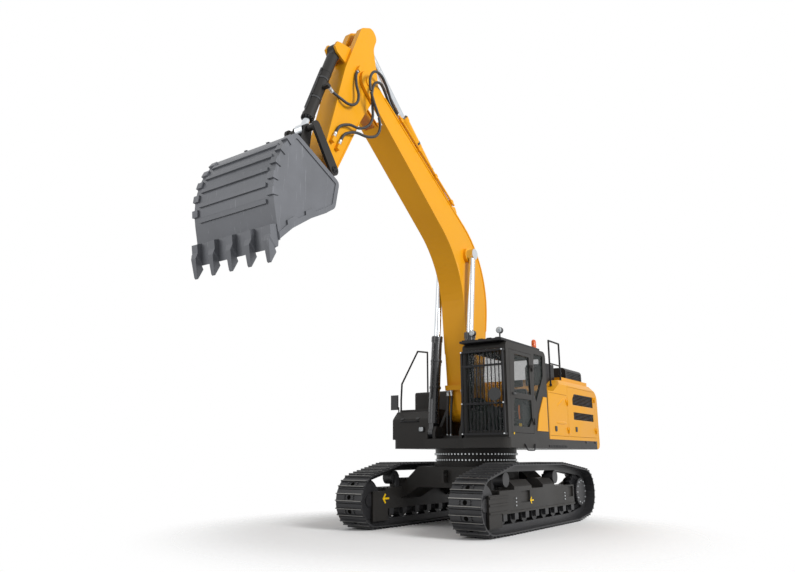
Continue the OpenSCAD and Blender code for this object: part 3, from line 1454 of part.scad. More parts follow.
module bucket_rod() {
  color(bright) at_frame() pose(bucket_base, bucket_cylinder_a)
    piston_rod(bucket_cylinder_l * bucket_rod_in_share, bucket_cylinder_l, cylinder_eye_r * 0.9, arm_eye_w,
      bucket_rod_r, 0);
}

rocker_r = 95;
stub_y = arm_eye_w / 2 + 2 * run_gap + rocker_t;
rocker_l = norm(link_pin - rocker_pin);

module rockers() {
  color(dark_grey) at_frame() both_sides() pose(rocker_pin, heading(rocker_pin, link_pin)) difference() {
    union() {
      slab(rocker_y, rocker_t) union() {
        circle(rocker_r);
        translate([rocker_l, 0]) circle(rocker_r * 0.85);
        polygon([[0, -rocker_r], [rocker_l, -rocker_r * 0.85], [rocker_l, rocker_r * 0.85], [0, rocker_r]]);
      }
      translate([rocker_l, stub_y, 0]) rotate([-90, 0, 0])
        cylinder(r = cylinder_pin_r, h = rocker_y - stub_y);
    }
    pin([0, 0], cylinder_pin_r + seat_gap, 3 * arm_w);
  }
}

link_y = arm_eye_w / 2 + run_gap + rocker_t / 2;
link_l = norm(bucket_ear_pin - link_pin);

module h_link() {
  color(dark_grey) at_frame() pose(bucket_ear_pin, heading(bucket_ear_pin, link_pin)) difference() {
    union() {
      both_sides() slab(link_y, rocker_t) union() {
        circle(rocker_r);
        translate([link_l, 0]) circle(rocker_r * 0.85);
        polygon([[0, -rocker_r], [link_l, -rocker_r * 0.85], [link_l, rocker_r * 0.85], [0, rocker_r]]);
      }
      pin([0, 0], rocker_r, 2 * (hinge_ear_y - hinge_ear_t / 2 - seat_gap));
      block([0, -link_y, -rocker_r / 2], [link_l * 0.5, link_y, rocker_r / 2]);
    }
    pin([0, 0], cylinder_pin_r + seat_gap, 3 * arm_w);
  }
}

ear_shares = [[-0.060, -0.045], [0.02, -0.075], [0.125, 0.045], [0.268, 0.487], [0.10, 0.36], [-0.02, 0.30],
  [-0.08, 0.265], [-0.085, 0.215], [-0.078, 0.03]];
cutter_shares = [[0.385, -0.036], [0.545, 0.017], [0.73, 0.058], [0.868, 0.069], [0.845, 0.103],
  [0.75, 0.096], [0.735, 0.118], [0.66, 0.102], [0.65, 0.078], [0.57, 0.055], [0.555, 0.076], [0.48, 0.05],
  [0.475, 0.026],
  [0.385, 0.0]];
cutter_t = 24;
side_rim = 70;
side_rim_t = 14;
strip_t = 26;
strip_share = 0.5;
strip_in = 110;
shoe_wear_in = 85;
shoe_wear_deep = 80;
wear_rows = [for (k = [0:4]) len(bucket_back) - 3 - 2 * k];

// Frame on the flat k of the bucket's back, with its length along the back
module on_back(k) {
  pose(bucket_back[k], heading(bucket_back[k], bucket_back[k + 1])) children();
}

module bucket() {
  inner = moved_path(bucket_back, -bucket_wall);
  half = bucket_w / 2;
  flat = norm(bucket_back[wear_rows[1] + 1] - bucket_back[wear_rows[1]]);
  color(dark_grey) at_frame() pose(bucket_pin, bucket_angle) {
    slab(0, bucket_w) polygon(concat(bucket_back, flipped(inner)));
    slab(0, bucket_w) polygon(scaled(bucket_lip_shares, bucket_r));
    both_sides() {
      slab(half - side_plate_t / 2, side_plate_t) polygon(bucket_side);
      slab(hinge_ear_y, hinge_ear_t) polygon(scaled(ear_shares, bucket_r));
      slab(half, 2 * side_rim_t) difference() {
        polygon(bucket_side);
        polygon(drawn_in(bucket_side, side_rim));
      }
      slab(half, 2 * cutter_t) polygon(scaled(cutter_shares, bucket_r));
    }
    // Wear strips across the back, and wear shoes that wrap its two edges between them
    for (k = wear_rows) {
      on_back(k) block([flat * (1 - strip_share) / 2, strip_in - half, -strip_t],
        [flat * (1 + strip_share) / 2, half - strip_in, strip_t]);
      both_sides() on_back(k - 1) block([0, half - shoe_wear_in, -shoe_wear_deep],
        [flat * 0.9, half + shoe_wear_t, shoe_wear_t]);
    }
    pin([0, 0], bucket_pin_r, 2 * hinge_ear_y + hinge_ear_t);
    pin(bucket_ear_pin_shares * bucket_r, cylinder_pin_r, 2 * hinge_ear_y + hinge_ear_t);
  }
}

tooth_shares = [[0.835, 0.155], [0.925, 0.045], [0.932, 0.02], [1.0, -0.004], [1.0, 0.008], [0.935, 0.108],
  [0.9, 0.128], [0.868, 0.17]];
tooth_plan_shares = [[0.8, 0.5], [0.915, 0.5], [0.925, 0.42], [1.0, 0.26]];

// Adapters over the lip, each with a point that narrows to its edge
module bucket_teeth() {
  pitch = (bucket_w - tooth_w) / (tooth_count - 1);
  plan = [for (q = tooth_plan_shares) [q.x * bucket_r, q.y * tooth_w]];
  color(dark_grey) at_frame() pose(bucket_pin, bucket_angle) for (i = [0:tooth_count - 1])
    translate([0, -bucket_w / 2 + tooth_w / 2 + i * pitch, 0]) intersection() {
      slab(0, tooth_w) polygon(scaled(tooth_shares, bucket_r));
      translate([0, 0, -bucket_r]) linear_extrude(2 * bucket_r)
        polygon(concat(plan, [for (q = flipped(plan)) [q.x, -q.y]]));
    }
}

car_body();
tow_lugs();
track_frame_left();
track_frame_right();
track_left();
track_right();
idlers();
sprockets();
bottom_rollers();
carrier_rollers();
bearing_lower();
bearing_upper();
main_frame();
counterweight();
engine();
hood_frame();
engine_hood();
hood_vent();
cleaner_box();
left_front_door();
left_rear_door();
door_grilles();
right_door();
tool_box();
tool_box_lid();
fuel_tank();
handrails();
mirrors();
cab_shell();
cab_side_panel();
cab_door();
cab_glass();
door_glass();
front_guard();
roof_guard();
lamps();
beacon();
seat();
consoles();
foot_hose_1();
foot_hose_2();
foot_hose_3();
foot_hose_4();
boom();
boom_pipes();
boom_lamp();
arm_hose_upper();
arm_hose_lower();
bucket_hose();
boom_barrels();
boom_rods();
arm();
arm_barrel();
arm_rod();
bucket_barrel();
bucket_rod();
rockers();
h_link();
bucket();
bucket_teeth();
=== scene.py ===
# %% [markdown]
# # A crawler excavator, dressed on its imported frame
# The solids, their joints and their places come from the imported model. This script gives each surface the
# finish of the real machine, and adds the pieces that are too soft or too fine for solids: hoses with their
# fittings, seat cushions, lamp lenses, bolt heads and the like. They could be modelled by hand, but a script
# can be read, changed and run again. Lengths are in metres in the frame of the solids. Places are written in
# millimetres from the swing axis and the ground, as a fitter would read them.

import json
import math

import bpy
import numpy as np
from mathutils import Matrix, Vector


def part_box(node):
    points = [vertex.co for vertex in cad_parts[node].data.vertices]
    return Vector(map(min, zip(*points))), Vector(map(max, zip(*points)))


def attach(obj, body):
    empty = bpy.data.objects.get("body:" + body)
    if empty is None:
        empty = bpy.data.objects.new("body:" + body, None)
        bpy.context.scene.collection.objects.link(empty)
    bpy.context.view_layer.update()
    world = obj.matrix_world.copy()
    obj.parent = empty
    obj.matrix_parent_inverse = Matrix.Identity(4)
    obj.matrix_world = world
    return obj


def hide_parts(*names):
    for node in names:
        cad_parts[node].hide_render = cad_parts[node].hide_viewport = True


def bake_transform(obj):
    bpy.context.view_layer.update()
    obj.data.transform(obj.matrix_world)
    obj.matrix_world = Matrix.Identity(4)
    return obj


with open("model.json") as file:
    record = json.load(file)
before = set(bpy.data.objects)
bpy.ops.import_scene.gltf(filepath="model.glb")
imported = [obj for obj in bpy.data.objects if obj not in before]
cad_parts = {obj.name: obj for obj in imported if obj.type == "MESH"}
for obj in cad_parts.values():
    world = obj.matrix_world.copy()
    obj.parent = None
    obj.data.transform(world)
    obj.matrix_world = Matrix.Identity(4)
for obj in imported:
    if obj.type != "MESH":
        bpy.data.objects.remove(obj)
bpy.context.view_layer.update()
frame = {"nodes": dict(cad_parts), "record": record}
nodes = frame["nodes"]
joints = {joint["name"]: joint for joint in frame["record"]["behaviour"]["joints"]}
swing_axis_x = joints["swing"]["pos_m"][0]

# %% [markdown]
# ## Camera
# The photograph is taken from a low place in front of the machine's left side, with the lens tilted up. A
# camera could be nudged until it seems right. Here its focal length and place were worked out from the track
# shoes, the cab and the hood, whose sizes are known, so it is written as a place, a heading and a tilt.

# %% Camera at the photograph's place
MM = 0.001
image_width_px = 795
focal_px = 665
sensor_mm = 36
far_limit_m = 200
camera_place_mm = [12300, 6770, 1295]
camera_heading = math.radians(215.35)
camera_tilt = math.radians(14.35)


def from_axis(points_mm):
    """Metres in the frame of the solids, of points in millimetres from the swing axis and the ground."""
    return np.asarray(points_mm, float) * MM + np.array([swing_axis_x, 0, 0])


camera_data = bpy.data.cameras.new("photo_camera")
camera_data.sensor_width = sensor_mm
camera_data.lens = focal_px / image_width_px * sensor_mm
camera_data.clip_end = far_limit_m
camera = bpy.data.objects.new("photo_camera", camera_data)
camera.location = from_axis(camera_place_mm)
camera.rotation_euler = (math.pi / 2 + camera_tilt, 0, camera_heading - math.pi / 2)
bpy.context.scene.collection.objects.link(camera)
bpy.context.scene.camera = camera
print("lens", round(camera_data.lens, 2), "mm, swing axis at x", round(swing_axis_x, 4))

# %% [markdown]
# ## Colour and shader helpers
# Paint, steel, rubber and glass differ in how they scatter light more than in colour. Pictures of them could
# be wrapped round the pieces, but a small network of nodes stays sharp at any distance. Colours are written
# as sRGB hex values and turned to linear light by one function. Patterns read Object coordinates, so they
# stay on the piece when it moves, and their scale is worked out from a size in millimetres.

# %% Colour and scale helpers
def linear(hex_colour):
    """Linear RGBA of an sRGB hex value: the piecewise sRGB curve, undone for each channel."""
    srgb = np.array([int(hex_colour[i : i + 2], 16) for i in (1, 3, 5)]) / 255
    rgb = np.where(srgb <= 0.04045, srgb / 12.92, ((srgb + 0.055) / 1.055) ** 2.4)
    return (*rgb.tolist(), 1.0)


def tones(shade, colour):
    """Inputs of a colour mix: the tone at a pattern's low values and the one at its high values."""
    return {"A": linear(shade), "B": linear(colour)}


def depth(size_mm, strength):
    """Inputs of a bump of size_mm between a pattern's low and high values."""
    return {"Strength": strength, "Distance": size_mm * MM}


def per_mm(size_mm):
    """Texture scale at which one cell of a pattern measures size_mm on a model in metres."""
    return 1000 / size_mm


print("a pattern of 10 mm has the scale", per_mm(10), "and white is", linear("#ffffff"))

# %% Node helpers
mix_colour = {"data_type": "RGBA"}


def add(tree, kind, settings=None, links=None, values=None, feeds=None):
    """Adds one node: settings are its attributes, values its inputs, links the outputs that feed it, and
    feeds the sockets that its own outputs go to."""
    node = tree.nodes.new(kind)
    for name, value in (settings or {}).items():
        setattr(node, name, value)
    for name, value in (values or {}).items():
        node.inputs[name].default_value = value
    for name, output in (links or {}).items():
        tree.links.new(output, node.inputs[name])
    for name, socket in (feeds or {}).items():
        tree.links.new(node.outputs[name], socket)
    return node


def new_material(name, sockets):
    """A node material, its tree and its shader's sockets, on which the even values are set."""
    material = bpy.data.materials.new(name)
    material.use_nodes = True
    tree = material.node_tree
    tree.nodes.clear()
    shader = add(tree, "ShaderNodeBsdfPrincipled", values=sockets)
    add(tree, "ShaderNodeOutputMaterial", links={"Surface": shader.outputs["BSDF"]})
    return material, tree, shader.inputs


print("each finish starts from a Principled shader; colours mix as", mix_colour["data_type"])

# %% [markdown]
# ## Rubber and plated metal
# A hose is black synthetic rubber, cured in a cloth that is wrapped round it and leaves faint bands. Its ends
# are plated with zinc, and the rods of the cylinders with hard chrome. Bands could be modelled as ridges, but
# they are too shallow, so noise along the hose draws them. Plated metal is told from plain metal by small
# cloudy patches that blur its reflections.

# %% Wrapped rubber
def hose_cover(name, wrap_mm):
    """Rubber cured in a wrapped cloth: noise along the hose's length gives faint bands and low ridges.
    A piece without that length, such as a boot, is even."""
    material, tree, skin = new_material(name, {"Roughness": 0.5, "IOR": 1.5})
    along = add(tree, "ShaderNodeAttribute", {"attribute_name": "along"}).outputs["Fac"]
    wrap = {"Scale": per_mm(wrap_mm), "Detail": 2.0}
    bands = add(tree, "ShaderNodeTexNoise", {"noise_dimensions": "1D"}, {"W": along}, wrap).outputs["Fac"]
    black = tones("#1c1c1d", "#313133")
    add(tree, "ShaderNodeMix", mix_colour, {"Factor": bands}, black, {"Result": skin["Base Color"]})
    add(tree, "ShaderNodeBump", None, {"Height": bands}, depth(0.8, 0.5), {"Normal": skin["Normal"]})
    return material


# The real wrap is a few millimetres wide; it is drawn as 45 mm bands so that it shows at this distance
hose_rubber = hose_cover("wrapped_hose_rubber", 45)
print("rubber:", hose_rubber.name)


# %% Plated metal
def plated_steel(name, colour, shade, roughness, mottle_mm):
    """Metal with a thin plated skin: noise gives patches that vary its tone and blur its reflections."""
    material, tree, skin = new_material(name, {"Metallic": 1.0})
    place = add(tree, "ShaderNodeTexCoord").outputs["Object"]
    mottle = {"Scale": per_mm(mottle_mm), "Detail": 3.0}
    patches = add(tree, "ShaderNodeTexNoise", None, {"Vector": place}, mottle).outputs["Fac"]
    pair = tones(shade, colour)
    add(tree, "ShaderNodeMix", mix_colour, {"Factor": patches}, pair, {"Result": skin["Base Color"]})
    blur = {"To Min": roughness * 0.7, "To Max": roughness * 1.3}
    add(tree, "ShaderNodeMapRange", None, {"Value": patches}, blur, {"Result": skin["Roughness"]})
    return material


# Zinc plate on bolts and fittings: a pale, slightly blurred metal
zinc_plate = plated_steel("zinc_plated_steel", "#d3d5d6", "#aeb2b5", 0.3, 25)
# Hard chrome on the rods: ground and polished, nearly a mirror
rod_chrome = plated_steel("hard_chrome", "#dadde0", "#c6cbcf", 0.16, 60)
# Silver behind a mirror's glass: the sharpest reflection on the machine
mirror_silver = plated_steel("silvered_mirror_glass", "#eef1f3", "#e2e7ea", 0.03, 120)
# Painted highlight on the tops of the track's bars, where their edges catch the light: pale grey metal with a
# blurred shine
bar_highlight_steel = plated_steel("worn_grouser_steel", "#8f8e8b", "#6b6a67", 0.42, 40)
print("plated:", zinc_plate.name, rod_chrome.name, mirror_silver.name, bar_highlight_steel.name)

# %% [markdown]
# ## Painted steel
# The machine is welded from plate and sprayed with enamel: a glossy yellow on the working gear and the
# house, dark greys on the cab and the undercarriage. One even colour would look like plastic. Enamel shows
# faint clouds of tone, a gloss that changes slowly where dust dulls it, and orange peel, so three patterns
# with small effects are laid over the colour.

# %% Sprayed enamel
# Real orange peel is 2 or 3 mm across; it is drawn coarser so that it shows at this distance
orange_peel_mm = 14


def enamel(name, colour, shade, roughness, coat, shine=0.15, cloud_mm=900):
    """Sprayed enamel on plate: noise gives clouds of tone and of gloss, and finer noise the orange peel."""
    sockets = {"Specular IOR Level": shine, "Coat Weight": coat, "Coat Roughness": 0.12}
    material, tree, skin = new_material(name, sockets)
    place = add(tree, "ShaderNodeTexCoord").outputs["Object"]
    cloudy = {"Scale": per_mm(cloud_mm), "Detail": 6.0, "Roughness": 0.62}
    clouds = add(tree, "ShaderNodeTexNoise", None, {"Vector": place}, cloudy).outputs["Fac"]
    pair = tones(shade, colour)
    add(tree, "ShaderNodeMix", mix_colour, {"Factor": clouds}, pair, {"Result": skin["Base Color"]})
    gloss = {"From Min": 0.3, "From Max": 0.7, "To Min": roughness * 0.8, "To Max": roughness * 1.25}
    add(tree, "ShaderNodeMapRange", None, {"Value": clouds}, gloss, {"Result": skin["Roughness"]})
    pebbled = {"Scale": per_mm(orange_peel_mm), "Detail": 2.0}
    peel = add(tree, "ShaderNodeTexNoise", None, {"Vector": place}, pebbled).outputs["Fac"]
    add(tree, "ShaderNodeBump", None, {"Height": peel}, depth(1.0, 0.06), {"Normal": skin["Normal"]})
    return material


# Golden yellow enamel: the widest, cleanest surfaces
yellow_enamel = enamel("yellow_enamel", "#f4ae20", "#eaa012", 0.36, 0.06)
# Charcoal paint on the cab, the deck and the undercarriage: less gloss
charcoal_paint = enamel("charcoal_paint", "#383634", "#2c2b2a", 0.42, 0.03)
# Satin black on rails, guards and grilles: dark, with a soft edge to its shine
black_paint = enamel("black_satin_paint", "#252527", "#1c1c1e", 0.42, 0.08, cloud_mm=400)
# Glossy black on the cylinder tubes: a clear streak of light along each tube
black_gloss = enamel("black_cylinder_enamel", "#27282b", "#1e1f22", 0.25, 0.3, 0.5, cloud_mm=500)
# Grey engine paint: matt with heat
engine_grey = enamel("grey_engine_paint", "#6d7270", "#5f6462", 0.55, 0.0, cloud_mm=300)
# Orange lever paint and yellow marking paint: small bright spots
orange_paint = enamel("orange_lever_paint", "#f08018", "#e57212", 0.35, 0.2, cloud_mm=60)
yellow_mark = enamel("yellow_marking_paint", "#ffd21f", "#f5c516", 0.45, 0.0, cloud_mm=80)
# Painted shade in the holes of the shoes: no paint, but the same clouds as the enamels, matt and nearly black
hole_shade_black = enamel("packed_dark_soil", "#131211", "#0a0a09", 0.9, 0.0, 0.0, cloud_mm=60)
print("enamels:", yellow_enamel.name, charcoal_paint.name, black_paint.name, black_gloss.name)

# %% [markdown]
# ## Steel that works
# Track shoes and the bucket are painted too, but they rub: on rollers, on the ground and in transport. Single
# scratches could be drawn as lines. Noise that is stretched along one direction gives thousands at once. They
# lighten the paint, and dust makes it dull.

# %% Scratched paint on shoes and bucket
def rubbed_steel(name, colour, shade, scratch, roughness, stretch, scratch_mm, cloud_mm=350):
    """Paint with streaks: noise stretched along the rubbing direction picks out a brighter, barer tone."""
    material, tree, skin = new_material(name, {"Specular IOR Level": 0.4, "Metallic": 0.15})
    place = add(tree, "ShaderNodeTexCoord").outputs["Object"]
    cloudy = {"Scale": per_mm(cloud_mm), "Detail": 6.0}
    clouds = add(tree, "ShaderNodeTexNoise", None, {"Vector": place}, cloudy).outputs["Fac"]
    drawn = add(tree, "ShaderNodeMapping", None, {"Vector": place}, {"Scale": stretch}).outputs["Vector"]
    streaky = {"Scale": per_mm(scratch_mm), "Detail": 4.0, "Roughness": 0.7}
    streaks = add(tree, "ShaderNodeTexNoise", None, {"Vector": drawn}, streaky).outputs["Fac"]
    bared = {"From Min": 0.6, "From Max": 0.78, "To Max": 0.55}
    bare = add(tree, "ShaderNodeMapRange", None, {"Value": streaks}, bared).outputs["Result"]
    pair = tones(shade, colour)
    painted = add(tree, "ShaderNodeMix", mix_colour, {"Factor": clouds}, pair).outputs["Result"]
    worn = {"Factor": bare, "A": painted}
    add(tree, "ShaderNodeMix", mix_colour, worn, {"B": linear(scratch)}, {"Result": skin["Base Color"]})
    dull = {"To Min": roughness * 0.75, "To Max": roughness * 1.3}
    add(tree, "ShaderNodeMapRange", None, {"Value": clouds}, dull, {"Result": skin["Roughness"]})
    add(tree, "ShaderNodeBump", None, {"Height": streaks}, depth(1.2, 0.15), {"Normal": skin["Normal"]})
    return material


# Rolled shoes: dark, with streaks across the shoe where soil slides off the bars
track_steel = rubbed_steel("rolled_track_steel", "#39393b", "#2a2a2c", "#73726f", 0.4, (1, 0.12, 1), 30)
# Bucket: mid grey paint, streaked along the digging direction
bucket_grey = rubbed_steel("grey_bucket_paint", "#75777d", "#636569", "#a0a2a7", 0.38, (1, 1, 0.1), 40)
print("worked steel:", track_steel.name, bucket_grey.name)

# %% [markdown]
# ## Plastic, cloth and glass
# The grips, boxes and lamp bodies are moulded plastic with a leather-like grain. The seat is woven cloth.
# The panes are safety glass with a green tint from the iron in it, and the beacon is clear orange plastic.
# Glass could bend the light by transmission, but a thin flat pane hardly does, and alpha stays free of
# speckles at few samples.

# %% Moulded plastic
def moulded(name, colour, shade, roughness, grain_mm, sockets=None):
    """Plastic from a grained mould: the distance from the nearest cell's middle gives its tone and bump."""
    material, tree, skin = new_material(name, {"IOR": 1.5, "Roughness": roughness, **(sockets or {})})
    place = add(tree, "ShaderNodeTexCoord").outputs["Object"]
    grain = {"Scale": per_mm(grain_mm)}
    cells = add(tree, "ShaderNodeTexVoronoi", None, {"Vector": place}, grain).outputs["Distance"]
    pair = tones(shade, colour)
    add(tree, "ShaderNodeMix", mix_colour, {"Factor": cells}, pair, {"Result": skin["Base Color"]})
    add(tree, "ShaderNodeBump", None, {"Height": cells}, depth(0.6, 0.3), {"Normal": skin["Normal"]})
    return material


# Moulded grain is about 1 mm across; it is drawn coarser so that it shows at this distance
black_plastic = moulded("moulded_black_abs", "#2f3031", "#232425", 0.5, 12)
# Lenses are fluted inside, so they break the light into pale cells under a hard clear coat
clear_coat = {"Coat Weight": 0.6, "Coat Roughness": 0.05}
lamp_lens = moulded("clear_lamp_polycarbonate", "#dde2e5", "#8f989d", 0.12, 34, clear_coat)
# The beacon glows a little, because light passes through its orange dome
glowing = {"Transmission Weight": 0.25, "Coat Weight": 0.5}
beacon_orange = moulded("orange_polycarbonate", "#ff7a1c", "#f05408", 0.15, 16, glowing)
print("plastics:", black_plastic.name, lamp_lens.name, beacon_orange.name)


# %% Woven cloth and safety glass
def woven(name, colour, shade, thread_mm):
    """Cloth of crossing threads: the product of two sine waves, one straight and one slanting."""
    material, tree, skin = new_material(name, {"Roughness": 0.85, "Sheen Weight": 0.3, "IOR": 1.45})
    place = add(tree, "ShaderNodeTexCoord").outputs["Object"]
    radians_per_metre = 20  # of the wave texture, at a scale of one
    spacing = {"Scale": per_mm(thread_mm) * 2 * math.pi / radians_per_metre}
    warp, weft = (
        add(tree, "ShaderNodeTexWave", {"bands_direction": way}, {"Vector": place}, spacing).outputs["Fac"]
        for way in ("Y", "DIAGONAL")
    )
    weave = add(tree, "ShaderNodeMath", {"operation": "MULTIPLY"}, {0: warp, 1: weft}).outputs[0]
    pair = tones(shade, colour)
    add(tree, "ShaderNodeMix", mix_colour, {"Factor": weave}, pair, {"Result": skin["Base Color"]})
    add(tree, "ShaderNodeBump", None, {"Height": weave}, depth(0.8, 0.5), {"Normal": skin["Normal"]})
    return material


def safety_glass(name, tint, clear, haze_mm):
    """Thin tinted pane: light passes straight on by its alpha, and a haze of dust blurs its reflections."""
    material, tree, skin = new_material(name, {"Alpha": 0.24, "IOR": 1.5})
    place = add(tree, "ShaderNodeTexCoord").outputs["Object"]
    hazy = {"Scale": per_mm(haze_mm), "Detail": 4.0}
    haze = add(tree, "ShaderNodeTexNoise", None, {"Vector": place}, hazy).outputs["Fac"]
    pair = tones(tint, clear)
    add(tree, "ShaderNodeMix", mix_colour, {"Factor": haze}, pair, {"Result": skin["Base Color"]})
    dust = {"To Min": 0.02, "To Max": 0.1}
    add(tree, "ShaderNodeMapRange", None, {"Value": haze}, dust, {"Result": skin["Roughness"]})
    return material


# Real threads are about 1 mm apart; they are drawn 38 mm apart so that they show at this distance
seat_cloth = woven("woven_seat_cloth", "#3b3d40", "#232427", 37.7)
# Tinted glass: dark against the pale studio, with sharp reflections where it is clean
cab_glass = safety_glass("tinted_safety_glass", "#16201e", "#2c3b38", 250)
print("cloth and glass:", seat_cloth.name, cab_glass.name)

# %% [markdown]
# ## Finish of each solid
# The imported model says for each solid which slot of material it has. A finish could be given to each solid by
# its name, but the slots keep pieces of one paint together. The finishes of small pieces are listed under the
# slot that is nearest to them. In each slot the first finish is that of the solids.

# %% Slots and their finishes
finishes_of_slot = {
    "yellow_paint": (yellow_enamel, yellow_mark),
    "dark_grey_paint": (charcoal_paint,),
    "black_paint": (black_paint,),
    "track_steel": (track_steel, bar_highlight_steel),
    "bucket_paint": (bucket_grey,),
    "cylinder_black": (black_gloss,),
    "rod_chrome": (rod_chrome, zinc_plate),
    "glass": (cab_glass, lamp_lens, mirror_silver),
    "seat_cloth": (seat_cloth,),
    "moulded_plastic": (black_plastic,),
    "engine_paint": (engine_grey,),
    "hose_rubber": (hose_rubber, hole_shade_black),
    "beacon_plastic": (beacon_orange, orange_paint),
}
slot_of_node = {part["node"]: part["material_slot"] for part in frame["record"]["subparts"]}
for name, solid in nodes.items():
    for holder in solid.material_slots:
        holder.material = finishes_of_slot[slot_of_node[name]][0]
print("finished", len(nodes), "solids in", len(finishes_of_slot), "slots")

# %% [markdown]
# ## Surfaces from arrays
# Every new piece is a grid of points: rings round a line, or copies of one small shape. The line may be a
# hose's route or a lathe's axis. Curves and modifiers could make many of these pieces. Arrays are chosen
# because a few short functions then make them all, and each ring is closed, so no seam shows.

# %% Rings round a line
FORWARD, LEFT, UP = (1, 0, 0), (0, 1, 0), (0, 0, 1)
BACK, RIGHT = (-1, 0, 0), (0, -1, 0)


def ring_faces(rows, sides, closed=False):
    """Quads between neighbouring rings. A closed grid joins its last ring to its first, and any other grid
    has a face on its first and on its last ring."""
    row, col = np.meshgrid(np.arange(rows if closed else rows - 1), np.arange(sides), indexing="ij")
    above, beside = (row + 1) % rows, (col + 1) % sides
    corners = [row * sides + col, row * sides + beside, above * sides + beside, above * sides + col]
    last = (rows - 1) * sides
    ends = [] if closed else [list(range(sides))[::-1], list(range(last, last + sides))]
    return np.stack(corners, -1).reshape(-1, 4).tolist() + ends


def ring_points(centres, side, up, radii, sides):
    """Rings of points: each is its centre plus its radius times (cosine times side plus sine times up)."""
    turn = np.linspace(0, 2 * np.pi, sides, endpoint=False)[None, :, None]
    out = np.cos(turn) * np.asarray(side)[..., None, :] + np.sin(turn) * np.asarray(up)[..., None, :]
    return (np.asarray(centres)[:, None] + np.asarray(radii, float)[:, None, None] * out).reshape(-1, 3)


def unit(vectors):
    """Vectors scaled to length one."""
    vectors = np.asarray(vectors, float)
    return vectors / np.linalg.norm(vectors, axis=-1, keepdims=True)


def frames(normals):
    """Two directions square to each normal, so that side, up and normal are a right-handed set."""
    normals = unit(normals)
    nearly_upright = np.abs(normals[..., 2:3]) > 0.9
    side = unit(np.cross(np.where(nearly_upright, FORWARD, UP), normals))
    return side, np.cross(normals, side), normals


print("two rings of 12 points have", len(ring_faces(2, 12)), "faces")


# %% Tubes and lathe work
def swept(path, radii, sides):
    """Tube along a path: each ring is square to the path's direction there."""
    path = np.asarray(path, float)
    side, up, _ = frames(np.gradient(path, axis=0))
    points = ring_points(path, side, up, np.broadcast_to(radii, len(path)), sides)
    return points, ring_faces(len(path), sides)


def turned(base, axis, profile_mm, sides=20, closed=False):
    """Lathe work: each (radius, height) of the profile is a ring round the axis, from the base up."""
    profile = np.asarray(profile_mm, float) * MM
    side, up, axis = frames(axis)
    points = ring_points(np.asarray(base) + profile[:, 1:] * axis, side, up, profile[:, 0], sides)
    return points, ring_faces(len(profile), sides, closed)


print("a turned pin has", len(turned([0, 0, 0], UP, [(6, 0), (6, 70)])[1]), "faces")


# %% Shapes joined and copied
def joined(shapes):
    """Several shapes as one: each shape's faces are counted on from the points before it."""
    first = np.cumsum([0] + [len(points) for points, _ in shapes])
    faces = [(np.array(face) + n).tolist() for (_, own), n in zip(shapes, first) for face in own]
    return np.vstack([points for points, _ in shapes]), faces


def copies(shape, places, normals):
    """One shape repeated: its z axis is turned to each normal and its origin moved to each place."""
    points, faces = shape
    turns = np.stack(frames(normals), -1)
    all_points = np.einsum("nij,pj->npi", turns, points) + np.asarray(places)[:, None]
    shifts = np.arange(len(turns)) * len(points)
    return all_points.reshape(-1, 3), [(np.array(face) + n).tolist() for n in shifts for face in faces]


two_pins = copies(turned([0, 0, 0], UP, [(6, 0), (6, 70)]), [LEFT, RIGHT], [UP, UP])
print("two copies of it have", len(two_pins[1]))

# %% New pieces
crease_angle = math.radians(38)


def new_piece(name, shape, finish, body=None):
    """A mesh object at the origin with its place in its points; it rides on the body that is named."""
    mesh = bpy.data.meshes.new(name)
    mesh.from_pydata(shape[0].tolist(), [], shape[1])
    mesh.polygons.foreach_set("use_smooth", np.ones(len(mesh.polygons), bool))
    mesh.set_sharp_from_angle(angle=crease_angle)
    mesh.materials.append(finish)
    piece = bpy.data.objects.new(name, mesh)
    bpy.context.scene.collection.objects.link(piece)
    if body:
        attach(piece, body)
    return piece


print("edges sharper than", round(math.degrees(crease_angle)), "degrees stay sharp")

# %% [markdown]
# ## Hydraulic hoses
# Oil goes through steel pipes on the boom and through rubber hoses wherever a joint turns. The hoses hang
# in loops of fixed length. A rope could be simulated, but the photograph shows where these stiff hoses hang,
# so each route is a list of points, the same as in the solids, with a smooth curve through them. A loop has
# one end on each of two bodies, and the fittings at its ends ride on them.

# %% Routes of the hoses
upper_route = [
    [3108.51, 278.333, 7463.93], [3202.96, 278.333, 7520.32], [3370, 295, 7625], [3600, 360, 7780],
    [3820, 405, 7885], [4040, 425, 7855], [4165, 425, 7690], [4150, 415, 7470], [4030, 405, 7260],
    [3890, 395, 7070], [3830, 385, 6860], [3920, 365, 6680], [4130, 330, 6590], [4370, 280, 6580],
    [4585, 235, 6480], [4684.33, 225, 6321.75], [4730.69, 225, 6222.33],
]
lower_route = [
    [3108.51, 221.333, 7463.93], [3202.96, 221.333, 7520.32], [3370, 235, 7620], [3560, 285, 7730],
    [3760, 335, 7785], [3940, 350, 7700], [4020, 350, 7490], [4000, 345, 7240], [3980, 335, 7010],
    [4090, 320, 6810], [4290, 290, 6690], [4510, 260, 6670], [4713, 232, 6570], [4812.43, 225, 6410.72],
    [4858.79, 225, 6311.3],
]
bucket_route = [
    [4271.24, 225, 7815.86], [4317.73, 225, 7716.16], [4340.18, 255, 7502.98], [4321.7, 290, 7317.82],
    [4357.6, 300, 7158.02], [4453.32, 285, 7059.22], [4577.76, 270, 7028.97], [4697.08, 245, 7057.03],
    [4862.86, 186.3, 7135.05], [4965.09, 186.3, 7175.66],
]
foot_route = [
    [760, 0, 1680.3], [760, 0, 1830], [752, 0, 2030], [725, 0, 2230], [703.353, 0, 2424.38],
    [716.216, 0, 2573.53],
]
# Places of the four foot hoses across the machine
foot_rows = (-205, -125, 125, 205)
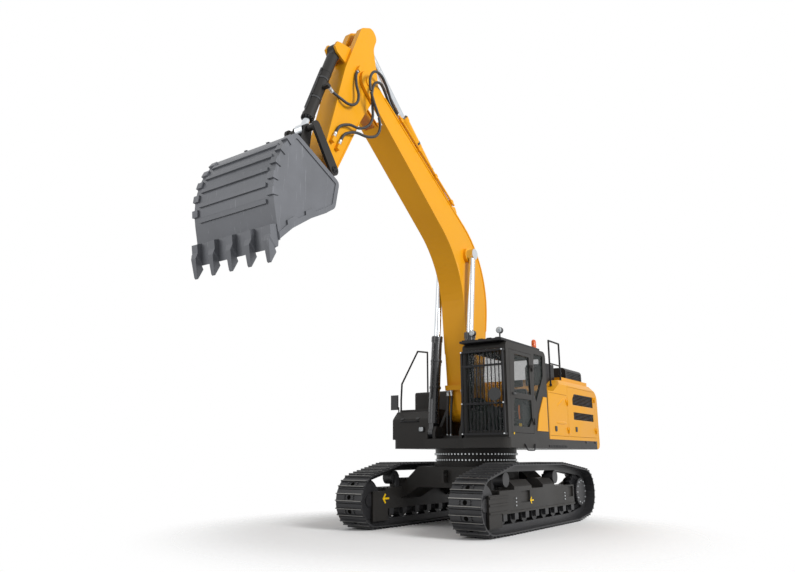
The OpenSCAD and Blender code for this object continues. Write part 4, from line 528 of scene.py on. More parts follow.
# Outer diameter of every hose, rings to each stretch of a route, and points to a ring
hose_d = 48
route_steps = 8
hose_sides = 16
print("routes with", len(upper_route), len(lower_route), len(bucket_route), len(foot_route), "points")


# %% Smooth curve through a route
def smooth_route(route, steps):
    """Cubic curve through the points, each stretch led by its two neighbours, as in the solids."""
    points = np.asarray(route, float)
    before = np.vstack([points[:1], points[:-2]])
    after = np.vstack([points[2:], points[-1:]])
    before, start, end, after = (v[:, None] for v in (before, points[:-1], points[1:], after))
    t = np.linspace(0, 1, steps, endpoint=False)[None, :, None]
    second = 2 * before - 5 * start + 4 * end - after
    third = 3 * start - before - 3 * end + after
    curve = (2 * start + (end - before) * t + second * t**2 + third * t**3) / 2
    return np.vstack([curve.reshape(-1, 3), points[-1:]])


print("a foot hose has", len(smooth_route(foot_route, route_steps)), "rings")


# %% Hoses along the routes
def hose(name, route, bodies):
    """Tube of the hose's diameter along its route, with its length at each point kept for the finish."""
    path = from_axis(smooth_route(route, route_steps))
    along = np.concatenate([[0], np.cumsum(np.linalg.norm(np.diff(path, axis=0), axis=1))])
    piece = new_piece(name + "_rubber", swept(path, hose_d / 2 * MM, hose_sides), hose_rubber)
    mark = piece.data.attributes.new("along", "FLOAT", "POINT")
    mark.data.foreach_set("value", np.repeat(along, hose_sides).astype(np.float32))
    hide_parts(name)
    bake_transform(piece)
    print(name, "length", round(float(along[-1]), 3), "m between", *bodies)
    return path


hose_runs = {
    "arm_hose_upper": (upper_route, ("boom", "arm")),
    "arm_hose_lower": (lower_route, ("boom", "arm")),
    "bucket_hose": (bucket_route, ("arm", "bucket_barrel")),
}
for number, y in enumerate(foot_rows, 1):
    hose_runs[f"foot_hose_{number}"] = ([[x, y, z] for x, _, z in foot_route], ("upper", "boom"))
hose_paths = [(hose(name, route, bodies), *bodies) for name, (route, bodies) in hose_runs.items()]

# %% [markdown]
# A fitting is a six-sided nut and a round sleeve that is pressed over the hose. A thread and the pressed
# furrows would be too fine to see, so both are plain lathe profiles, the nut with six sides. Where a moving
# piece passes close by, at a hose's first end, both are slimmer. All fittings on one body are one piece.

# %% Fittings
nut_mm = [(30, 0), (36, 3), (36, 34), (30, 38)]
sleeve_mm = [(27, 38), (31, 41), (31, 66), (29.5, 70), (31, 74), (31, 104), (26, 110)]
slim_nut_mm = [(26, 0), (30, 3), (30, 22), (26, 25)]
short_sleeve_mm = [(25, 20), (27, 26), (27, 32), (25, 36)]
nut_sides, sleeve_sides = 6, 18
half_stretch = route_steps // 2
fittings = {}
for path, first_body, last_body in hose_paths:
    first = (first_body, path[0], path[half_stretch], slim_nut_mm, short_sleeve_mm)
    last = (last_body, path[-1], path[-1 - half_stretch], nut_mm, sleeve_mm)
    for body, end, before, nut, sleeve in (first, last):
        pair = [turned(end, before - end, nut, nut_sides), turned(end, before - end, sleeve, sleeve_sides)]
        fittings.setdefault(body, []).extend(pair)
for body, shapes in fittings.items():
    new_piece(f"hose_fittings_{body}", joined(shapes), zinc_plate, body)
print("fittings on", {body: len(shapes) // 2 for body, shapes in fittings.items()})

# %% [markdown]
# ## Seat
# The driver's seat is the one padded piece. Foam under cloth swells in the middle and is drawn in by its
# seams. Cloth could be simulated over foam, but behind the cab's guard little of it would show. So a cushion
# is a rounded box by formula: its top is crowned, its sides pull in between the corners, and its sewn
# channels are shallow furrows.

# %% Cushion formula
cushion_rows = 40
cushion_sides = 88
pole_gap = 0.03
squareness = 0.28
draw_in_share = 0.06
furrow_wide_share = 0.05
furrow_deep_mm = 12


def cushion(centre, half, crown, channels):
    """Rounded box by the superellipsoid formula, sides drawn in, crowned, with furrows across its top."""
    v = np.linspace(-np.pi / 2 + pole_gap, np.pi / 2 - pole_gap, cushion_rows)[:, None]
    u = np.linspace(0, 2 * np.pi, cushion_sides, endpoint=False)[None, :]
    waves = (np.cos(v), np.sin(v), np.cos(u), np.sin(u))
    wide, z, along, across = (np.sign(wave) * np.abs(wave) ** squareness for wave in waves)
    x, y, z = wide * along, wide * across, z + 0 * u
    drawn_x, drawn_y = 1 - draw_in_share * (1 - y**2), 1 - draw_in_share * (1 - x**2)
    top = np.clip(z, 0, 1) * np.clip((1 - x**2) * (1 - y**2), 0, 1)
    furrows = sum(np.exp(-(((x - c) / furrow_wide_share) ** 2)) for c in channels) * np.clip(z, 0, 1)
    height = z * half[2] + crown * top - furrow_deep_mm * MM * furrows
    points = np.stack([x * drawn_x * half[0], y * drawn_y * half[1], height], -1)
    return points.reshape(-1, 3) + centre, ring_faces(cushion_rows, cushion_sides)


def leaned(shape, centre, angle):
    """The shape turned about the cross axis through centre, as a back rest leans."""
    c, s = math.cos(angle), math.sin(angle)
    turn = np.array([[c, 0, s], [0, 1, 0], [-s, 0, c]])
    return (shape[0] - centre) @ turn.T + centre, shape[1]


print("a cushion has", cushion_rows, "rings of", cushion_sides, "points")

# %% Seat, back and head rest
# Each row: name, centre, half sizes and crown in millimetres, shares of the channels, lean from level
seat_mid_y = 1017.5
upright = math.pi / 2
cushion_table = (
    ("seat_cushion", [345, seat_mid_y, 2062], [228, 235, 62], 16, (-0.45, 0.1, 0.6), 0),
    ("seat_back_cushion", [104, seat_mid_y, 2330], [265, 222, 42], 14, (-0.5, 0.0, 0.5), upright),
    ("seat_head_cushion", [98, seat_mid_y, 2690], [70, 130, 34], 10, (), upright),
)
for name, place_mm, half_mm, crown_mm, channels, lean in cushion_table:
    centre = from_axis(place_mm)
    shape = cushion(centre, np.array(half_mm) * MM, crown_mm * MM, channels)
    new_piece(name, leaned(shape, centre, lean), seat_cloth, "upper")
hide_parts("seat")

# %% [markdown]
# The seat stands on a spring that is hidden by a pleated rubber skirt, and its head rest slides on two posts.
# The skirt could be cut from cloth and folded. A square tube whose size follows a cosine as it rises gives
# the same pleats.

# %% Seat stand and head rest posts
stand_low, stand_high = from_axis([[345, seat_mid_y, 1666], [345, seat_mid_y, 1996]])
stand_half_mm = 175
pleat_deep_mm = 12
pleat_count = 8
post_mm = [(6, 0), (6, 70)]
rise = np.linspace(0, 1, pleat_count * 5 + 1)
pleat_r = (stand_half_mm + pleat_deep_mm * np.cos(rise * 2 * np.pi * pleat_count)) * MM * math.sqrt(2)
stand_line = stand_low + rise[:, None] * (stand_high - stand_low)
stand = ring_points(stand_line, unit([1, 1, 0]), unit([-1, 1, 0]), pleat_r, 4), ring_faces(len(rise), 4)
new_piece("seat_stand_bellows", stand, hose_rubber, "upper")
posts = [turned(from_axis([98, seat_mid_y + side, 2570]), UP, post_mm, 12) for side in (-60, 60)]
new_piece("head_rest_posts", joined(posts), rod_chrome, "upper")
print("seat stand", round(float(stand_high[2] - stand_low[2]), 3), "m high")

# %% [markdown]
# ## Levers
# Two joysticks stand on the consoles, each a rubber boot, a stick and a grip. Two travel levers rise from
# the floor. The orange lever at the left console shuts the hydraulics off when it is raised, and a plain
# yellow tag hangs on it. Grips could be sculpted, but through the panes a lathe profile looks the same.

# %% Joysticks, travel levers and the lock lever
boot_mm = [(46, 0), (46, 6), (34, 14), (38, 20), (26, 30), (29, 36), (17, 48), (11, 54), (10, 100)]
grip_mm = [(12, 96), (21, 104), (24, 130), (20, 160), (23, 186), (19, 200), (6, 205)]
lever_mm = [(14, 0), (9, 10), (9, 420), (17, 425), (19, 470), (17, 520), (8, 528)]
stick_places = from_axis([[580, y, 2225.5] for y in (708, 1327)])
lever_places = from_axis([[1010, y, 1666] for y in (960, 1075)])
lock_route = [[688, 1325, 1966], [702, 1325, 2050], [706, 1325, 2130], [694, 1325, 2216]]
lock_r_mm = 13
stick_lean, lever_lean = (0.12, 0, 1), (0.05, 0, 1)
boots = [turned(place, stick_lean, boot_mm) for place in stick_places]
new_piece("joystick_boots", joined(boots), hose_rubber, "upper")
grips = [turned(place, stick_lean, grip_mm) for place in stick_places]
new_piece("joystick_grips", joined(grips), black_plastic, "upper")
levers = [turned(place, lever_lean, lever_mm) for place in lever_places]
new_piece("travel_levers", joined(levers), black_plastic, "upper")
lock = swept(from_axis(smooth_route(lock_route, 6)), lock_r_mm * MM, 12)
new_piece("lock_lever", lock, orange_paint, "upper")
print("levers:", len(levers) + 1, "and", len(stick_places), "joysticks")

# %% [markdown]
# ## Plates and faces
# Latches, mirror faces, lenses and tags are small plates with rounded corners and a soft edge. Each could be
# a cube with a bevel. One formula makes them all instead: a superellipse outline that is drawn in a little
# at its front face, round at a power of 2 and nearly square at 8.

# %% Rounded plates
plate_sides = 40
edge_share = 0.1


def plate(centre, normal, size_mm, power):
    """Plate on a surface: four superellipse rings from back to front, the last two drawn in at the edge."""
    width, height, thick = np.array(size_mm, float) * MM
    side, up, normal = frames(normal)
    angle = np.linspace(0, 2 * np.pi, plate_sides, endpoint=False)
    reach = (np.abs(np.cos(angle)) ** power + np.abs(np.sin(angle)) ** power) ** (-1 / power)
    outline = np.stack([reach * np.cos(angle) * width, reach * np.sin(angle) * height], -1) / 2
    shrink = np.array([1, 1, 1 - edge_share / 3, 1 - edge_share])[:, None, None]
    lift = np.array([0, 0.6, 0.9, 1.0])[:, None, None] * thick
    points = np.asarray(centre) + shrink * (outline[:, :1] * side + outline[:, 1:] * up) + lift * normal
    return points.reshape(-1, 3), ring_faces(len(shrink), plate_sides)


def plates(name, spots_mm, normal, size_mm, finish, body, power=5.0):
    """Several like plates on one body, as one piece; the size is width, height and thickness."""
    shapes = [plate(from_axis(spot), normal, size_mm, power) for spot in spots_mm]
    new_piece(name, joined(shapes), finish, body)


side_y = 1465.2
latch_mm = (95, 105, 16)
plates("left_front_latch", [[-690, side_y, 1830]], LEFT, latch_mm, black_plastic, "left_front_door")
plates("left_rear_latches", [[-1810, side_y, 1850]], LEFT, latch_mm, black_plastic, "left_rear_door")
plates("right_latch", [[-1640, -side_y, 1850]], RIGHT, latch_mm, black_plastic, "right_door")
plates("round_mirror_face", [[1618.9, 1310, 2360]], BACK, (216, 216, 4), mirror_silver, "upper", 2.0)
plates("right_mirror_face", [[902.9, -1374, 2370]], BACK, (150, 280, 4), mirror_silver, "upper", 8.0)
plates("lock_lever_tag", [[706, 1343, 1846]], (1, 0.4, 0), (55, 75, 3), yellow_mark, "upper", 8.0)
print("latches stand on the sides at y", side_y, "mm")

# %% [markdown]
# The lamps on the cab's roof have round bulging lenses, and those of the boom and the tool box are flat. The
# beacon's dome is ribbed to spread its light. Ribs could be a bump, but they show in the outline. So the dome
# is lathe work whose radius falls away near the top, with a small cosine added for the ribs.

# %% Lamp lenses and the beacon's dome
lens_mm = [(53, 0), (53, 4), (50, 8), (38, 13), (20, 16), (2, 17)]
lenses = [turned(from_axis([1520.2, y, 3518]), FORWARD, lens_mm, 28) for y in (820, 1380)]
new_piece("cab_lamp_lenses", joined(lenses), lamp_lens, "upper")
boom_top = math.radians(30.83)
along_boom = (math.cos(boom_top), 0, math.sin(boom_top))
plates("boom_lamp_lens", [[1766, 105, 6672.8]], along_boom, (104, 84, 9), lamp_lens, "boom", 6.0)
plates("tool_box_lamp", [[860.2, -742, 1818]], FORWARD, (122, 104, 34), black_plastic, "upper")
plates("tool_box_lamp_lens", [[894, -742, 1818]], FORWARD, (96, 80, 6), lamp_lens, "upper")
dome_r_mm, dome_high_mm = 47, 138
dome_rib_mm, dome_ribs, dome_tip_mm = 1.5, 8, 1
rise = np.linspace(0, 1, dome_ribs * 3 + 1)
ribbed = dome_r_mm + dome_rib_mm * np.cos(rise * 2 * np.pi * dome_ribs)
dome_mm = np.stack([ribbed * (1 - rise**6) ** 0.5 + dome_tip_mm, rise * dome_high_mm], -1)
dome = turned(from_axis([-170, 1305, 3449]), UP, dome_mm, 32)
new_piece("beacon_dome", dome, beacon_orange, "upper")
print("lenses", len(lenses) + 2, "and a beacon dome with", len(dome[1]), "faces")

# %% [markdown]
# ## Handles, step and small covers
# A bent rod makes the grab bars, the lifting eyes and the hanging step: one path with a round section, as a
# bending machine makes it. The corners could be mitred, but a real rod has round bends, so the curve of the
# hoses goes through them.

# %% Bent rods
def bent_rod(name, corners_mm, radius_mm, body, finish=black_paint):
    """Round rod along the corners, rounded by the same curve as the hoses."""
    new_piece(name, swept(from_axis(smooth_route(corners_mm, route_steps)), radius_mm * MM, 14), finish, body)


grab_bar = [[858, -1250], [896, -1232], [900, -1040], [896, -848], [858, -830]]
bent_rod("tool_box_grab_bar", [[x, y, 1978] for x, y in grab_bar], 11, "upper")
step_path = [
    [822, 1462, 1512], [812, 1478, 1490], [752, 1486, 1412], [690, 1486, 1400],
    [500, 1486, 1400], [438, 1486, 1412], [388, 1478, 1490], [378, 1462, 1512],
]
bent_rod("deck_step", step_path, 12, "upper")
eye_path = [[-3365, 2745], [-3362, 2805], [-3300, 2850], [-3238, 2805], [-3235, 2745]]
for hand, y in (("right", -900), ("left", 900)):
    bent_rod(f"lifting_eye_{hand}", [[x, y, z] for x, z in eye_path], 20, "upper", yellow_enamel)
pull_path = [[-92, 2940], [-84, 2982], [0, 2990], [84, 2982], [92, 2940]]
bent_rod("hood_pull", [[-1530, y, z] for y, z in pull_path], 10, "engine_hood")
print("bent rods: a grab bar, a step, two lifting eyes and a pull")

# %% [markdown]
# Small covers are plates or lathe work: the filler's cap, the door's handle, clips and a row of short louvres
# in the skirt. The lid of the tool box has pressed studs so that a boot doesn't slip. Studs could be an array
# modifier on one stud, but copies in one mesh stay a single piece.

# %% Cap, handles, louvres and studs
filler_mm = [(74, -2), (74, 16), (64, 20), (66, 24), (66, 52), (58, 60), (2, 61)]
filler = turned(from_axis([-700, -1000, 2650]), UP, filler_mm, 32)
new_piece("fuel_filler_cap", filler, black_plastic, "upper")
plates("cab_door_handle", [[1180, side_y, 2395]], LEFT, (130, 42, 24), black_plastic, "cab_door")
latch_spots = [[836, y, 2025] for y in (-1230, -850)]
plates("tool_box_latches", latch_spots, (1, 0, 1), (74, 64, 24), black_plastic, "upper")
louvre_spots = [[x, side_y, 1484] for x in np.linspace(-330, -1210, 12)]
plates("skirt_louvres", louvre_spots, LEFT, (64, 44, 10), black_paint, "upper", 7.0)
clip_spots = [[x, side_y, 1590] for x in (-2381, -2960)]
plates("skirt_clips", clip_spots, LEFT, (120, 44, 16), black_plastic, "upper")
plates("sill_mark", [[1232, side_y, 1690]], LEFT, (40, 40, 2), yellow_mark, "upper", 2.0)
stud_x, stud_y = np.meshgrid(np.linspace(90, 610, 9), np.linspace(-1350, -600, 13))
stud_places = np.stack([stud_x.ravel(), stud_y.ravel(), np.full(stud_x.size, 2229.5)], -1)
stud = turned(np.zeros(3), UP, [(13, 0), (11, 4), (6, 5)], 8)
studs = copies(stud, from_axis(stud_places), np.repeat([UP], len(stud_places), 0))
new_piece("lid_studs", studs, charcoal_paint, "tool_box_lid")
print("louvres", len(louvre_spots), "studs", len(stud_places))

# %% [markdown]
# ## Pressed ribs and painted marks
# The thin door panels are stiffened by pressed ribs, which catch the light. A bump in the paint would vanish
# at the edge of the panel, so a rib is a real bead, flattened and half sunk, that tapers to nothing at both
# ends. The yellow arrows on the track frames show which end is the front.

# %% Ribs on the door
bead_rows = 33
bead_sides = 14
bead_flat_share = 0.45
bead_tip_share = 0.02
bead_taper_power = 0.35
rib_r_mm = 34


def bead(start, end, radius_mm, normal):
    """Half-sunk bead along a line: a tube whose radius is a small power of a sine, flattened to the panel."""
    share = np.linspace(0.0, 1.0, bead_rows)[:, None]
    path = (1 - share) * np.asarray(start) + share * np.asarray(end)
    radii = radius_mm * MM * np.clip(np.sin(np.pi * share[:, 0]), bead_tip_share, 1) ** bead_taper_power
    points, faces = swept(path, radii, bead_sides)
    normal = np.asarray(normal, float)
    height = (points - np.repeat(path, bead_sides, 0)) @ normal
    return points - bead_flat_share * height[:, None] * normal, faces


rib_ends = [([-830, 1462, 2290], [-1230, 1462, 2470]), ([-730, 1462, 1955], [-1280, 1462, 1960])]
ribs = [bead(*from_axis(pair), rib_r_mm, LEFT) for pair in rib_ends]
new_piece("left_front_door_ribs", joined(ribs), yellow_enamel, "left_front_door")
print("ribs", len(ribs))


# %% Arrows on the track frames
def arrow(tip, heading, normal, length_mm, thick_mm):
    """Flat arrow: an outline of head and shaft as shares of the length, raised by the paint's thickness."""
    upper_shares = np.array([[-0.38, 0.44], [-0.52, 0.34], [-0.3, 0.08], [-1, 0.08]])
    outline = np.vstack([[[0, 0]], upper_shares, upper_shares[::-1] * [1, -1]])
    across = np.cross(normal, heading)
    flat = np.asarray(tip) + length_mm * MM * (outline[:, :1] * np.asarray(heading) + outline[:, 1:] * across)
    points = np.vstack([flat, flat + np.asarray(normal) * thick_mm * MM])
    return points, ring_faces(2, len(outline))


paint_mm = 2
arrows = [
    arrow(from_axis([470, 1360.2, 510]), FORWARD, LEFT, 150, paint_mm),
    arrow(from_axis([1790, -1029.8, 520]), FORWARD, LEFT, 210, paint_mm),
]
new_piece("track_frame_arrows", joined(arrows), yellow_mark, "undercarriage")
print("arrows", len(arrows))

# %% [markdown]
# ## Bolt heads
# Two rows of bright bolts hold the swing bearing, and more hold the drives, the track frames and the cab's
# guard. They are too small for solids, but the eye reads the machine's scale from them. A bolt with a thread
# would waste faces, so one six-sided head of few faces is copied.

# %% Bolt heads
head_sunk_mm = 2
head_high_share = 0.62
chamfer_from_share, chamfer_top_share = 0.8, 0.82


def hex_head(across_mm, high_mm):
    """Six-sided head with a chamfered top: three rings of six points and two end faces."""
    r = across_mm / math.sqrt(3)
    profile = [(r, -head_sunk_mm), (r, high_mm * chamfer_from_share), (r * chamfer_top_share, high_mm)]
    return turned(np.zeros(3), UP, profile, 6)


def bolts(name, places_mm, normals, across_mm, body, finish=zinc_plate):
    """Heads of one size at the places, each standing along its normal, as one piece on the body."""
    head = hex_head(across_mm, across_mm * head_high_share)
    new_piece(name, copies(head, from_axis(places_mm), np.asarray(normals, float)), finish, body)


def circle(count, start=0.0):
    """Cosine and sine of count even turns."""
    angle = np.linspace(0, 2 * np.pi, count, endpoint=False) + start
    return np.cos(angle), np.sin(angle)


lower_ring_r, lower_row_z = 800, 1222
upper_ring_r, upper_row_z = 820, 1334
bearing_bolt_mm = 34
c, s = circle(72)
outward = np.stack([c, s, 0 * c], -1)
lower_row = outward * lower_ring_r + [0, 0, lower_row_z]
upper_row = outward * upper_ring_r + [0, 0, upper_row_z]
bolts("bearing_bolts_lower", lower_row, outward, bearing_bolt_mm, "undercarriage")
bolts("bearing_bolts_upper", upper_row, outward, bearing_bolt_mm, "upper")
print("bearing bolts:", 2 * len(outward))

# %% Bolts on the drives, the track frames and the guard
drive_x, drive_z = -2129, 560
drive_ring_r = 230
frame_face_y = 1360
frame_bolt_mm, guard_bolt_mm = 30, 28
c, s = circle(12)
hub = np.stack([drive_x + drive_ring_r * c, frame_face_y + 0 * c, drive_z + drive_ring_r * s], -1)
columns = np.array([[x, frame_face_y, z] for x in (1070, -1180) for z in (455, 515, 575)])
left_side = np.vstack([hub, columns])
both_sides = np.vstack([left_side, left_side * [1, -1, 1]])
facing = np.repeat([LEFT, RIGHT], len(left_side), 0)
bolts("track_frame_bolts", both_sides, facing, frame_bolt_mm, "undercarriage")
guard_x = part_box("front_guard")[1][0] - swing_axis_x
guard_spots = [[guard_x / MM, y, z] for y in (600, 1435) for z in (1680, 2216, 3160)]
bolts("guard_bolts", guard_spots, np.repeat([FORWARD], len(guard_spots), 0), guard_bolt_mm, "upper")
print("track frame bolts:", len(both_sides), "and guard bolts at x", round(guard_x, 3))

# %% [markdown]
# ## Track shoes
# Each shoe is rolled with two bars, bolted to its pair of links by four bolts, and pierced in the middle so
# that mud is pressed out. Bolts could be set on one shoe and copied along a curve. Here the rule by which the
# solids are laid out is written once more: the chain runs round six circles, joined by straights, and the
# shoes share its length evenly. So bolts, the painted shade in the holes and the painted highlights on the
# bars sit right on every shoe.

# %% Places on the chain
# Each row: x and z of a circle's middle and its radius, from the drive round by the ground
belt_circles = np.array([
    [-2130, 560, 440],
    [-1588.98, 285, 235],
    [1499.52, 285, 235],
    [2130, 505, 440],
    [1300, 895, 235],
    [-900, 895, 235],
])
shoe_pitch_mm = 240
shoe_plate_mm = 20
track_mid_mm = 1195


def on_belt(share, high_mm):
    """Places and outward directions at a share of each shoe, by length along arcs and straights in turn."""
    gap = np.roll(belt_circles, -1, 0) - belt_circles
    span = np.hypot(gap[:, 0], gap[:, 1])
    leave = np.arctan2(gap[:, 1], gap[:, 0]) - np.arccos(-gap[:, 2] / span)
    enter = np.roll(leave, 1)
    arc = (leave - enter) % (2 * np.pi) * belt_circles[:, 2]
    stages = np.stack([arc, np.sqrt(span**2 - gap[:, 2] ** 2)], -1).ravel()
    starts = np.concatenate([[0], np.cumsum(stages)])
    count = round(starts[-1] / shoe_pitch_mm)
    length = (np.arange(count) + share) * starts[-1] / count
    stage = np.searchsorted(starts, length, "right") - 1
    wheel, rest, straight = stage // 2, length - starts[stage], stage % 2
    angle = np.where(straight, leave[wheel], enter[wheel] + rest / belt_circles[wheel, 2])
    out = np.stack([np.cos(angle), 0 * angle, np.sin(angle)], -1)
    ahead = np.stack([-np.sin(angle), 0 * angle, np.cos(angle)], -1)
    middle = np.stack([belt_circles[wheel, 0], 0 * angle, belt_circles[wheel, 1]], -1)
    return middle + out * (belt_circles[wheel, 2:] + high_mm) + ahead * (rest * straight)[:, None], out


def on_both_tracks(shares, rows_mm, high_mm=shoe_plate_mm):
    """Places on the shoes of both tracks, for each share of a shoe and each row across it, with their
    outward directions."""
    shifts = np.array([[0, side * track_mid_mm + row, 0] for side in (-1, 1) for row in rows_mm])
    spots = [on_belt(share, high_mm) for share in shares]
    places = [(middle[None] + shifts[:, None]).reshape(-1, 3) for middle, _ in spots]
    return np.vstack(places), np.vstack([np.tile(out, (len(shifts), 1)) for _, out in spots])


print("shoes on each track:", len(on_belt(0, 0)[0]))

# %% Bolts, and painted shade in the mud holes
bolt_shares = (0.33, 0.5)
link_rows_mm = (-100, 100)
shoe_bolt_mm = 30
bolt_places, bolt_out = on_both_tracks(bolt_shares, link_rows_mm)
bolts("shoe_bolts", bolt_places, bolt_out, shoe_bolt_mm, "undercarriage", track_steel)
# Each mud hole is a nearly black disc on the shoe: painted shade where the hole is
hole_share = 0.415
hole_mm = [(40, -2), (40, 1), (36, 1.5)]
hole_places, hole_out = on_both_tracks((hole_share,), (0,))
holes = copies(turned(np.zeros(3), UP, hole_mm, 12), from_axis(hole_places), hole_out)
new_piece("shoe_mud_holes", holes, hole_shade_black, "undercarriage")
print("holes", len(hole_places), "bolts", len(bolt_places))

# %% Painted highlights on the tops of the bars
# Thin pale strips on the top of each bar are painted highlights, where the bar's edges catch the light
bar_shares = (0.185, 0.645)
bar_high_mm = 30
bar_half_mm, bar_top_half_mm = 298, 6
sunk_mm, proud_mm = 3, 0.4
top_outline = np.array([[-1, -1], [1, -1], [1, 1], [-1, 1]]) * [bar_half_mm, bar_top_half_mm]
highlight_strip = np.vstack([np.insert(top_outline.astype(float), 2, z, 1) for z in (-sunk_mm, proud_mm)]) * MM
bar_places, bar_out = on_both_tracks(bar_shares, (0,), shoe_plate_mm + bar_high_mm)
tops = copies((highlight_strip, ring_faces(2, 4)), from_axis(bar_places), bar_out)
new_piece("grouser_worn_tops", tops, bar_highlight_steel, "undercarriage")
print("bars", len(bar_places))

# %% [markdown]
# ## Pin caps
# Each pin of the working gear is kept by a cap with three bolts. Caps could be set by typed places. Here the
# pin's axis is its joint's axis, and the face that a cap stands on is read from the solid: the outermost
# point within the cap's reach of that axis. So the caps follow the solids.

# %% Pin caps
def outer_face(node, x, z, reach):
    """Largest y of the node's points within reach of the axis along Y through x and z, in metres."""
    mesh = nodes[node].data
    flat = np.empty(len(mesh.vertices) * 3)
    mesh.vertices.foreach_get("co", flat)
    points = flat.reshape(-1, 3)
    near = np.hypot(points[:, 0] - x, points[:, 2] - z) < reach
    return float(points[near, 1].max())


cap_rim_mm = 12
cap_mm = [(58, -1), (58, 8), (54, cap_rim_mm), (20, 13), (2, 13)]
cap_reach_mm = 100
cap_bolt_ring_mm = 36
cap_head = hex_head(24, 14)
for joint, node, body in (
    ("arm", "arm", "arm"),
    ("bucket", "bucket", "bucket"),
    ("rocker_turn", "rockers", "rockers"),
    ("boom", "main_frame", "upper"),
):
    x, _, z = joints[joint]["pos_m"]
    y = outer_face(node, x, z, cap_reach_mm * MM)
    c, s = np.array(circle(3, math.pi / 2)) * cap_bolt_ring_mm * MM
    ring = np.stack([x + c, y + cap_rim_mm * MM + 0 * c, z + s], -1)
    heads = copies(cap_head, ring, np.repeat([LEFT], len(ring), 0))
    left = joined([turned([x, y, z], LEFT, cap_mm, 32), heads])
    mirrored = (left[0] * [1, -1, 1], [face[::-1] for face in left[1]])
    new_piece(f"pin_caps_{joint}", joined([left, mirrored]), black_paint, body)
    print("caps on", node, "at y", round(y, 3))

# %% [markdown]
# ## Cylinder fittings
# A hydraulic cylinder is closed at the rod's end by a gland, which a ring of bolts holds. Oil reaches that
# end through a steel pipe outside the tube, kept by two clamp bands. They could be drawn upright and turned
# into place. Here all three are worked out along the tube's own axis, which runs from its pin along the slide
# of its rod, so one function serves all cylinders. A band is hollow, because the rod passes through it.

# %% Gland bolts, clamp bands and oil pipes
gland_to_tube = 1.1
gland_ring_share = 0.82
gland_bolts = 12
gland_head = hex_head(24, 18)
band_shares = (0.46, 0.74)
band_half_mm = 22
band_sunk_mm, band_proud_mm, band_slope_mm = 2, 7, 2
pipe_r_mm = 13
# Share of the tube's length and millimetres outside the tube, from port to port
pipe_line = [(0.34, -8), (0.345, 18), (0.37, 26), (0.6, 26), (0.88, 26), (0.915, 24), (0.925, 8)]


def cylinder_fittings(name, pin, axis, length, gland_r, rows, outward_sign):
    """Bolts on a ring round the axis, two bands as lathe work, and a pipe beside the tube, for each row."""
    axis = unit(axis)
    outward = outward_sign * np.cross(axis, LEFT)
    tube_r = gland_r / gland_to_tube
    c, s = np.array(circle(gland_bolts))[..., None] * gland_r * gland_ring_share * MM
    low, high, flat_half = tube_r - band_sunk_mm, tube_r + band_proud_mm, band_half_mm - band_slope_mm
    band = [(low, -band_half_mm), (high, -flat_half), (high, flat_half), (low, band_half_mm)]
    shapes = []
    for row in rows:
        start = np.array([pin[0], row * MM, pin[2]])
        ring = start + length * axis + c * outward + s * np.array(LEFT)
        shapes.append(copies(gland_head, ring, np.repeat([axis], gland_bolts, 0)))
        clamps = [start + share * length * axis for share in band_shares]
        shapes += [turned(clamp, axis, band, 32, closed=True) for clamp in clamps]
        line = [start + share * length * axis + (tube_r + off) * MM * outward for share, off in pipe_line]
        shapes.append(swept(smooth_route(line, 6), pipe_r_mm * MM, 12))
    new_piece(f"{name}_fittings", joined(shapes), black_gloss, name)
    print(name, "fittings", len(shapes))


# Each row: body, its tilt joint, its rod's slide, metres from pin to gland, gland radius and places across in
# millimetres, and the side on which the pipe runs
for name, tilt, slide, length, gland_r, rows, outward_sign in (
    ("bucket_barrel", "bucket_cylinder_tilt", "bucket_rod_slide", 1.6845, 107, [0], 1),
    ("arm_barrel", "arm_cylinder_tilt", "arm_rod_slide", 2.228, 124, [0], 1),
    ("boom_barrels", "boom_cylinder_tilt", "boom_rod_slide", 1.921, 121, [-379, 379], -1),
):
    cylinder_fittings(name, joints[tilt]["pos_m"], joints[slide]["axis"], length, gland_r, rows, outward_sign)

# %% [markdown]
# ## World and lamps
# The machine stands in a white studio. A strong white world would bleach the paint, so the world is white
# only where the camera, a mirror or glass sees it, and a soft grey as light. One large lamp gives the gentle
# shadow and a weaker one fills it. The level is plain, so that a colour renders about as it is written.

# %% World
scene = bpy.context.scene
scene.view_settings.view_transform = "Standard"


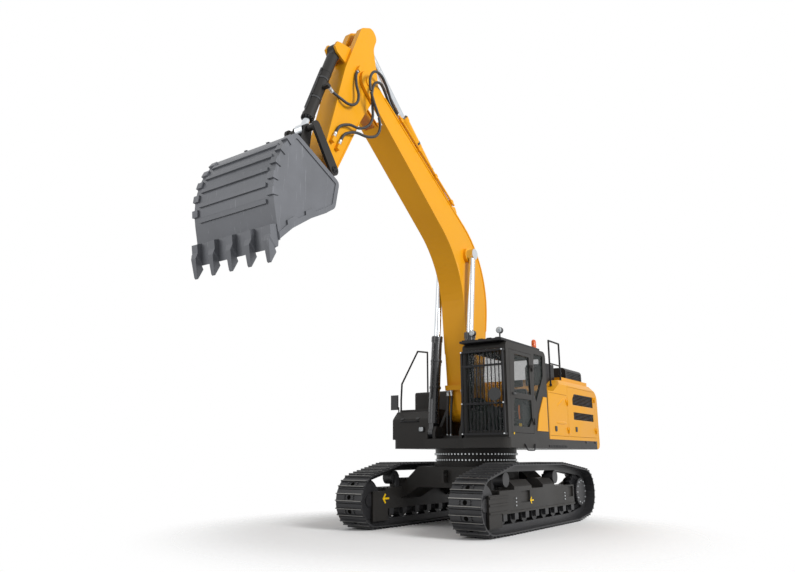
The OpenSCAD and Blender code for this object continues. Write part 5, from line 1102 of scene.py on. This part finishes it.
def studio_world(ambient):
    """White where the camera, a mirror or glass sees it, and a softer grey as the light on the machine."""
    world = bpy.data.worlds.new("studio")
    scene.world = world
    world.use_nodes = True
    tree = world.node_tree
    tree.nodes.clear()
    larger = {"operation": "MAXIMUM"}
    rays = add(tree, "ShaderNodeLightPath").outputs
    direct = {0: rays["Is Camera Ray"], 1: rays["Is Transmission Ray"]}
    clear = add(tree, "ShaderNodeMath", larger, direct).outputs[0]
    seen = add(tree, "ShaderNodeMath", larger, {0: clear, 1: rays["Is Glossy Ray"]}).outputs[0]
    light, white = (
        add(tree, "ShaderNodeBackground", values={"Color": (1, 1, 1, 1), "Strength": strength}).outputs[0]
        for strength in (ambient, 1.0)
    )
    mixed = add(tree, "ShaderNodeMixShader", links={0: seen, 1: light, 2: white})
    add(tree, "ShaderNodeOutputWorld", links={"Surface": mixed.outputs[0]})


ambient_strength = 0.42
studio_world(ambient_strength)
print("view", scene.view_settings.view_transform, "in the world", scene.world.name)


# %% Lamps
def soft_lamp(name, place, aim, power, width):
    """A square area lamp at place, turned to look at aim."""
    data = bpy.data.lights.new(name, "AREA")
    data.energy = power
    data.size = width
    lamp = bpy.data.objects.new(name, data)
    lamp.location = place
    x, y, z = np.array(aim) - np.array(place)
    lamp.rotation_euler = (math.pi / 2 + math.atan2(z, math.hypot(x, y)), 0, math.atan2(y, x) - math.pi / 2)
    scene.collection.objects.link(lamp)


machine_middle = (0, 0, 3)
soft_lamp("key", place=(2, 16, 12), aim=machine_middle, power=2300, width=7)
soft_lamp("fill", place=(14, -5, 8), aim=machine_middle, power=330, width=8)

# %% [markdown]
# ## Floor
# A pale floor carries the machine's shadow. A plane to the horizon would show an edge against the world, so
# the floor is a disc that turns clear with its distance from the middle.

# %% Floor
floor_r, fade_from_r = 5.4, 2.7
rim_points = 96


def floor_disc(radius, fade_from):
    """A disc of ground points whose surface turns clear between fade_from and radius, seen from above."""
    c, s = circle(rim_points)
    rim = np.stack([c * radius, s * radius, 0 * c], -1)
    mesh = bpy.data.meshes.new("floor")
    mesh.from_pydata(rim.tolist(), [], [list(range(rim_points))])
    floor = bpy.data.objects.new("floor", mesh)
    scene.collection.objects.link(floor)
    matt_white = {"Base Color": linear("#fbfbfb"), "Roughness": 0.9}
    material, tree, skin = new_material("pale_studio_floor", matt_white)
    place = add(tree, "ShaderNodeTexCoord").outputs["Object"]
    distance = add(tree, "ShaderNodeVectorMath", {"operation": "LENGTH"}, {0: place}).outputs["Value"]
    fade = {"From Min": fade_from, "From Max": radius, "To Min": 1.0, "To Max": 0.0}
    smooth = {"interpolation_type": "SMOOTHSTEP"}
    add(tree, "ShaderNodeMapRange", smooth, {"Value": distance}, fade, {"Result": skin["Alpha"]})
    mesh.materials.append(material)


floor_disc(floor_r, fade_from_r)
print("floor fades out between", fade_from_r, "and", floor_r, "m")
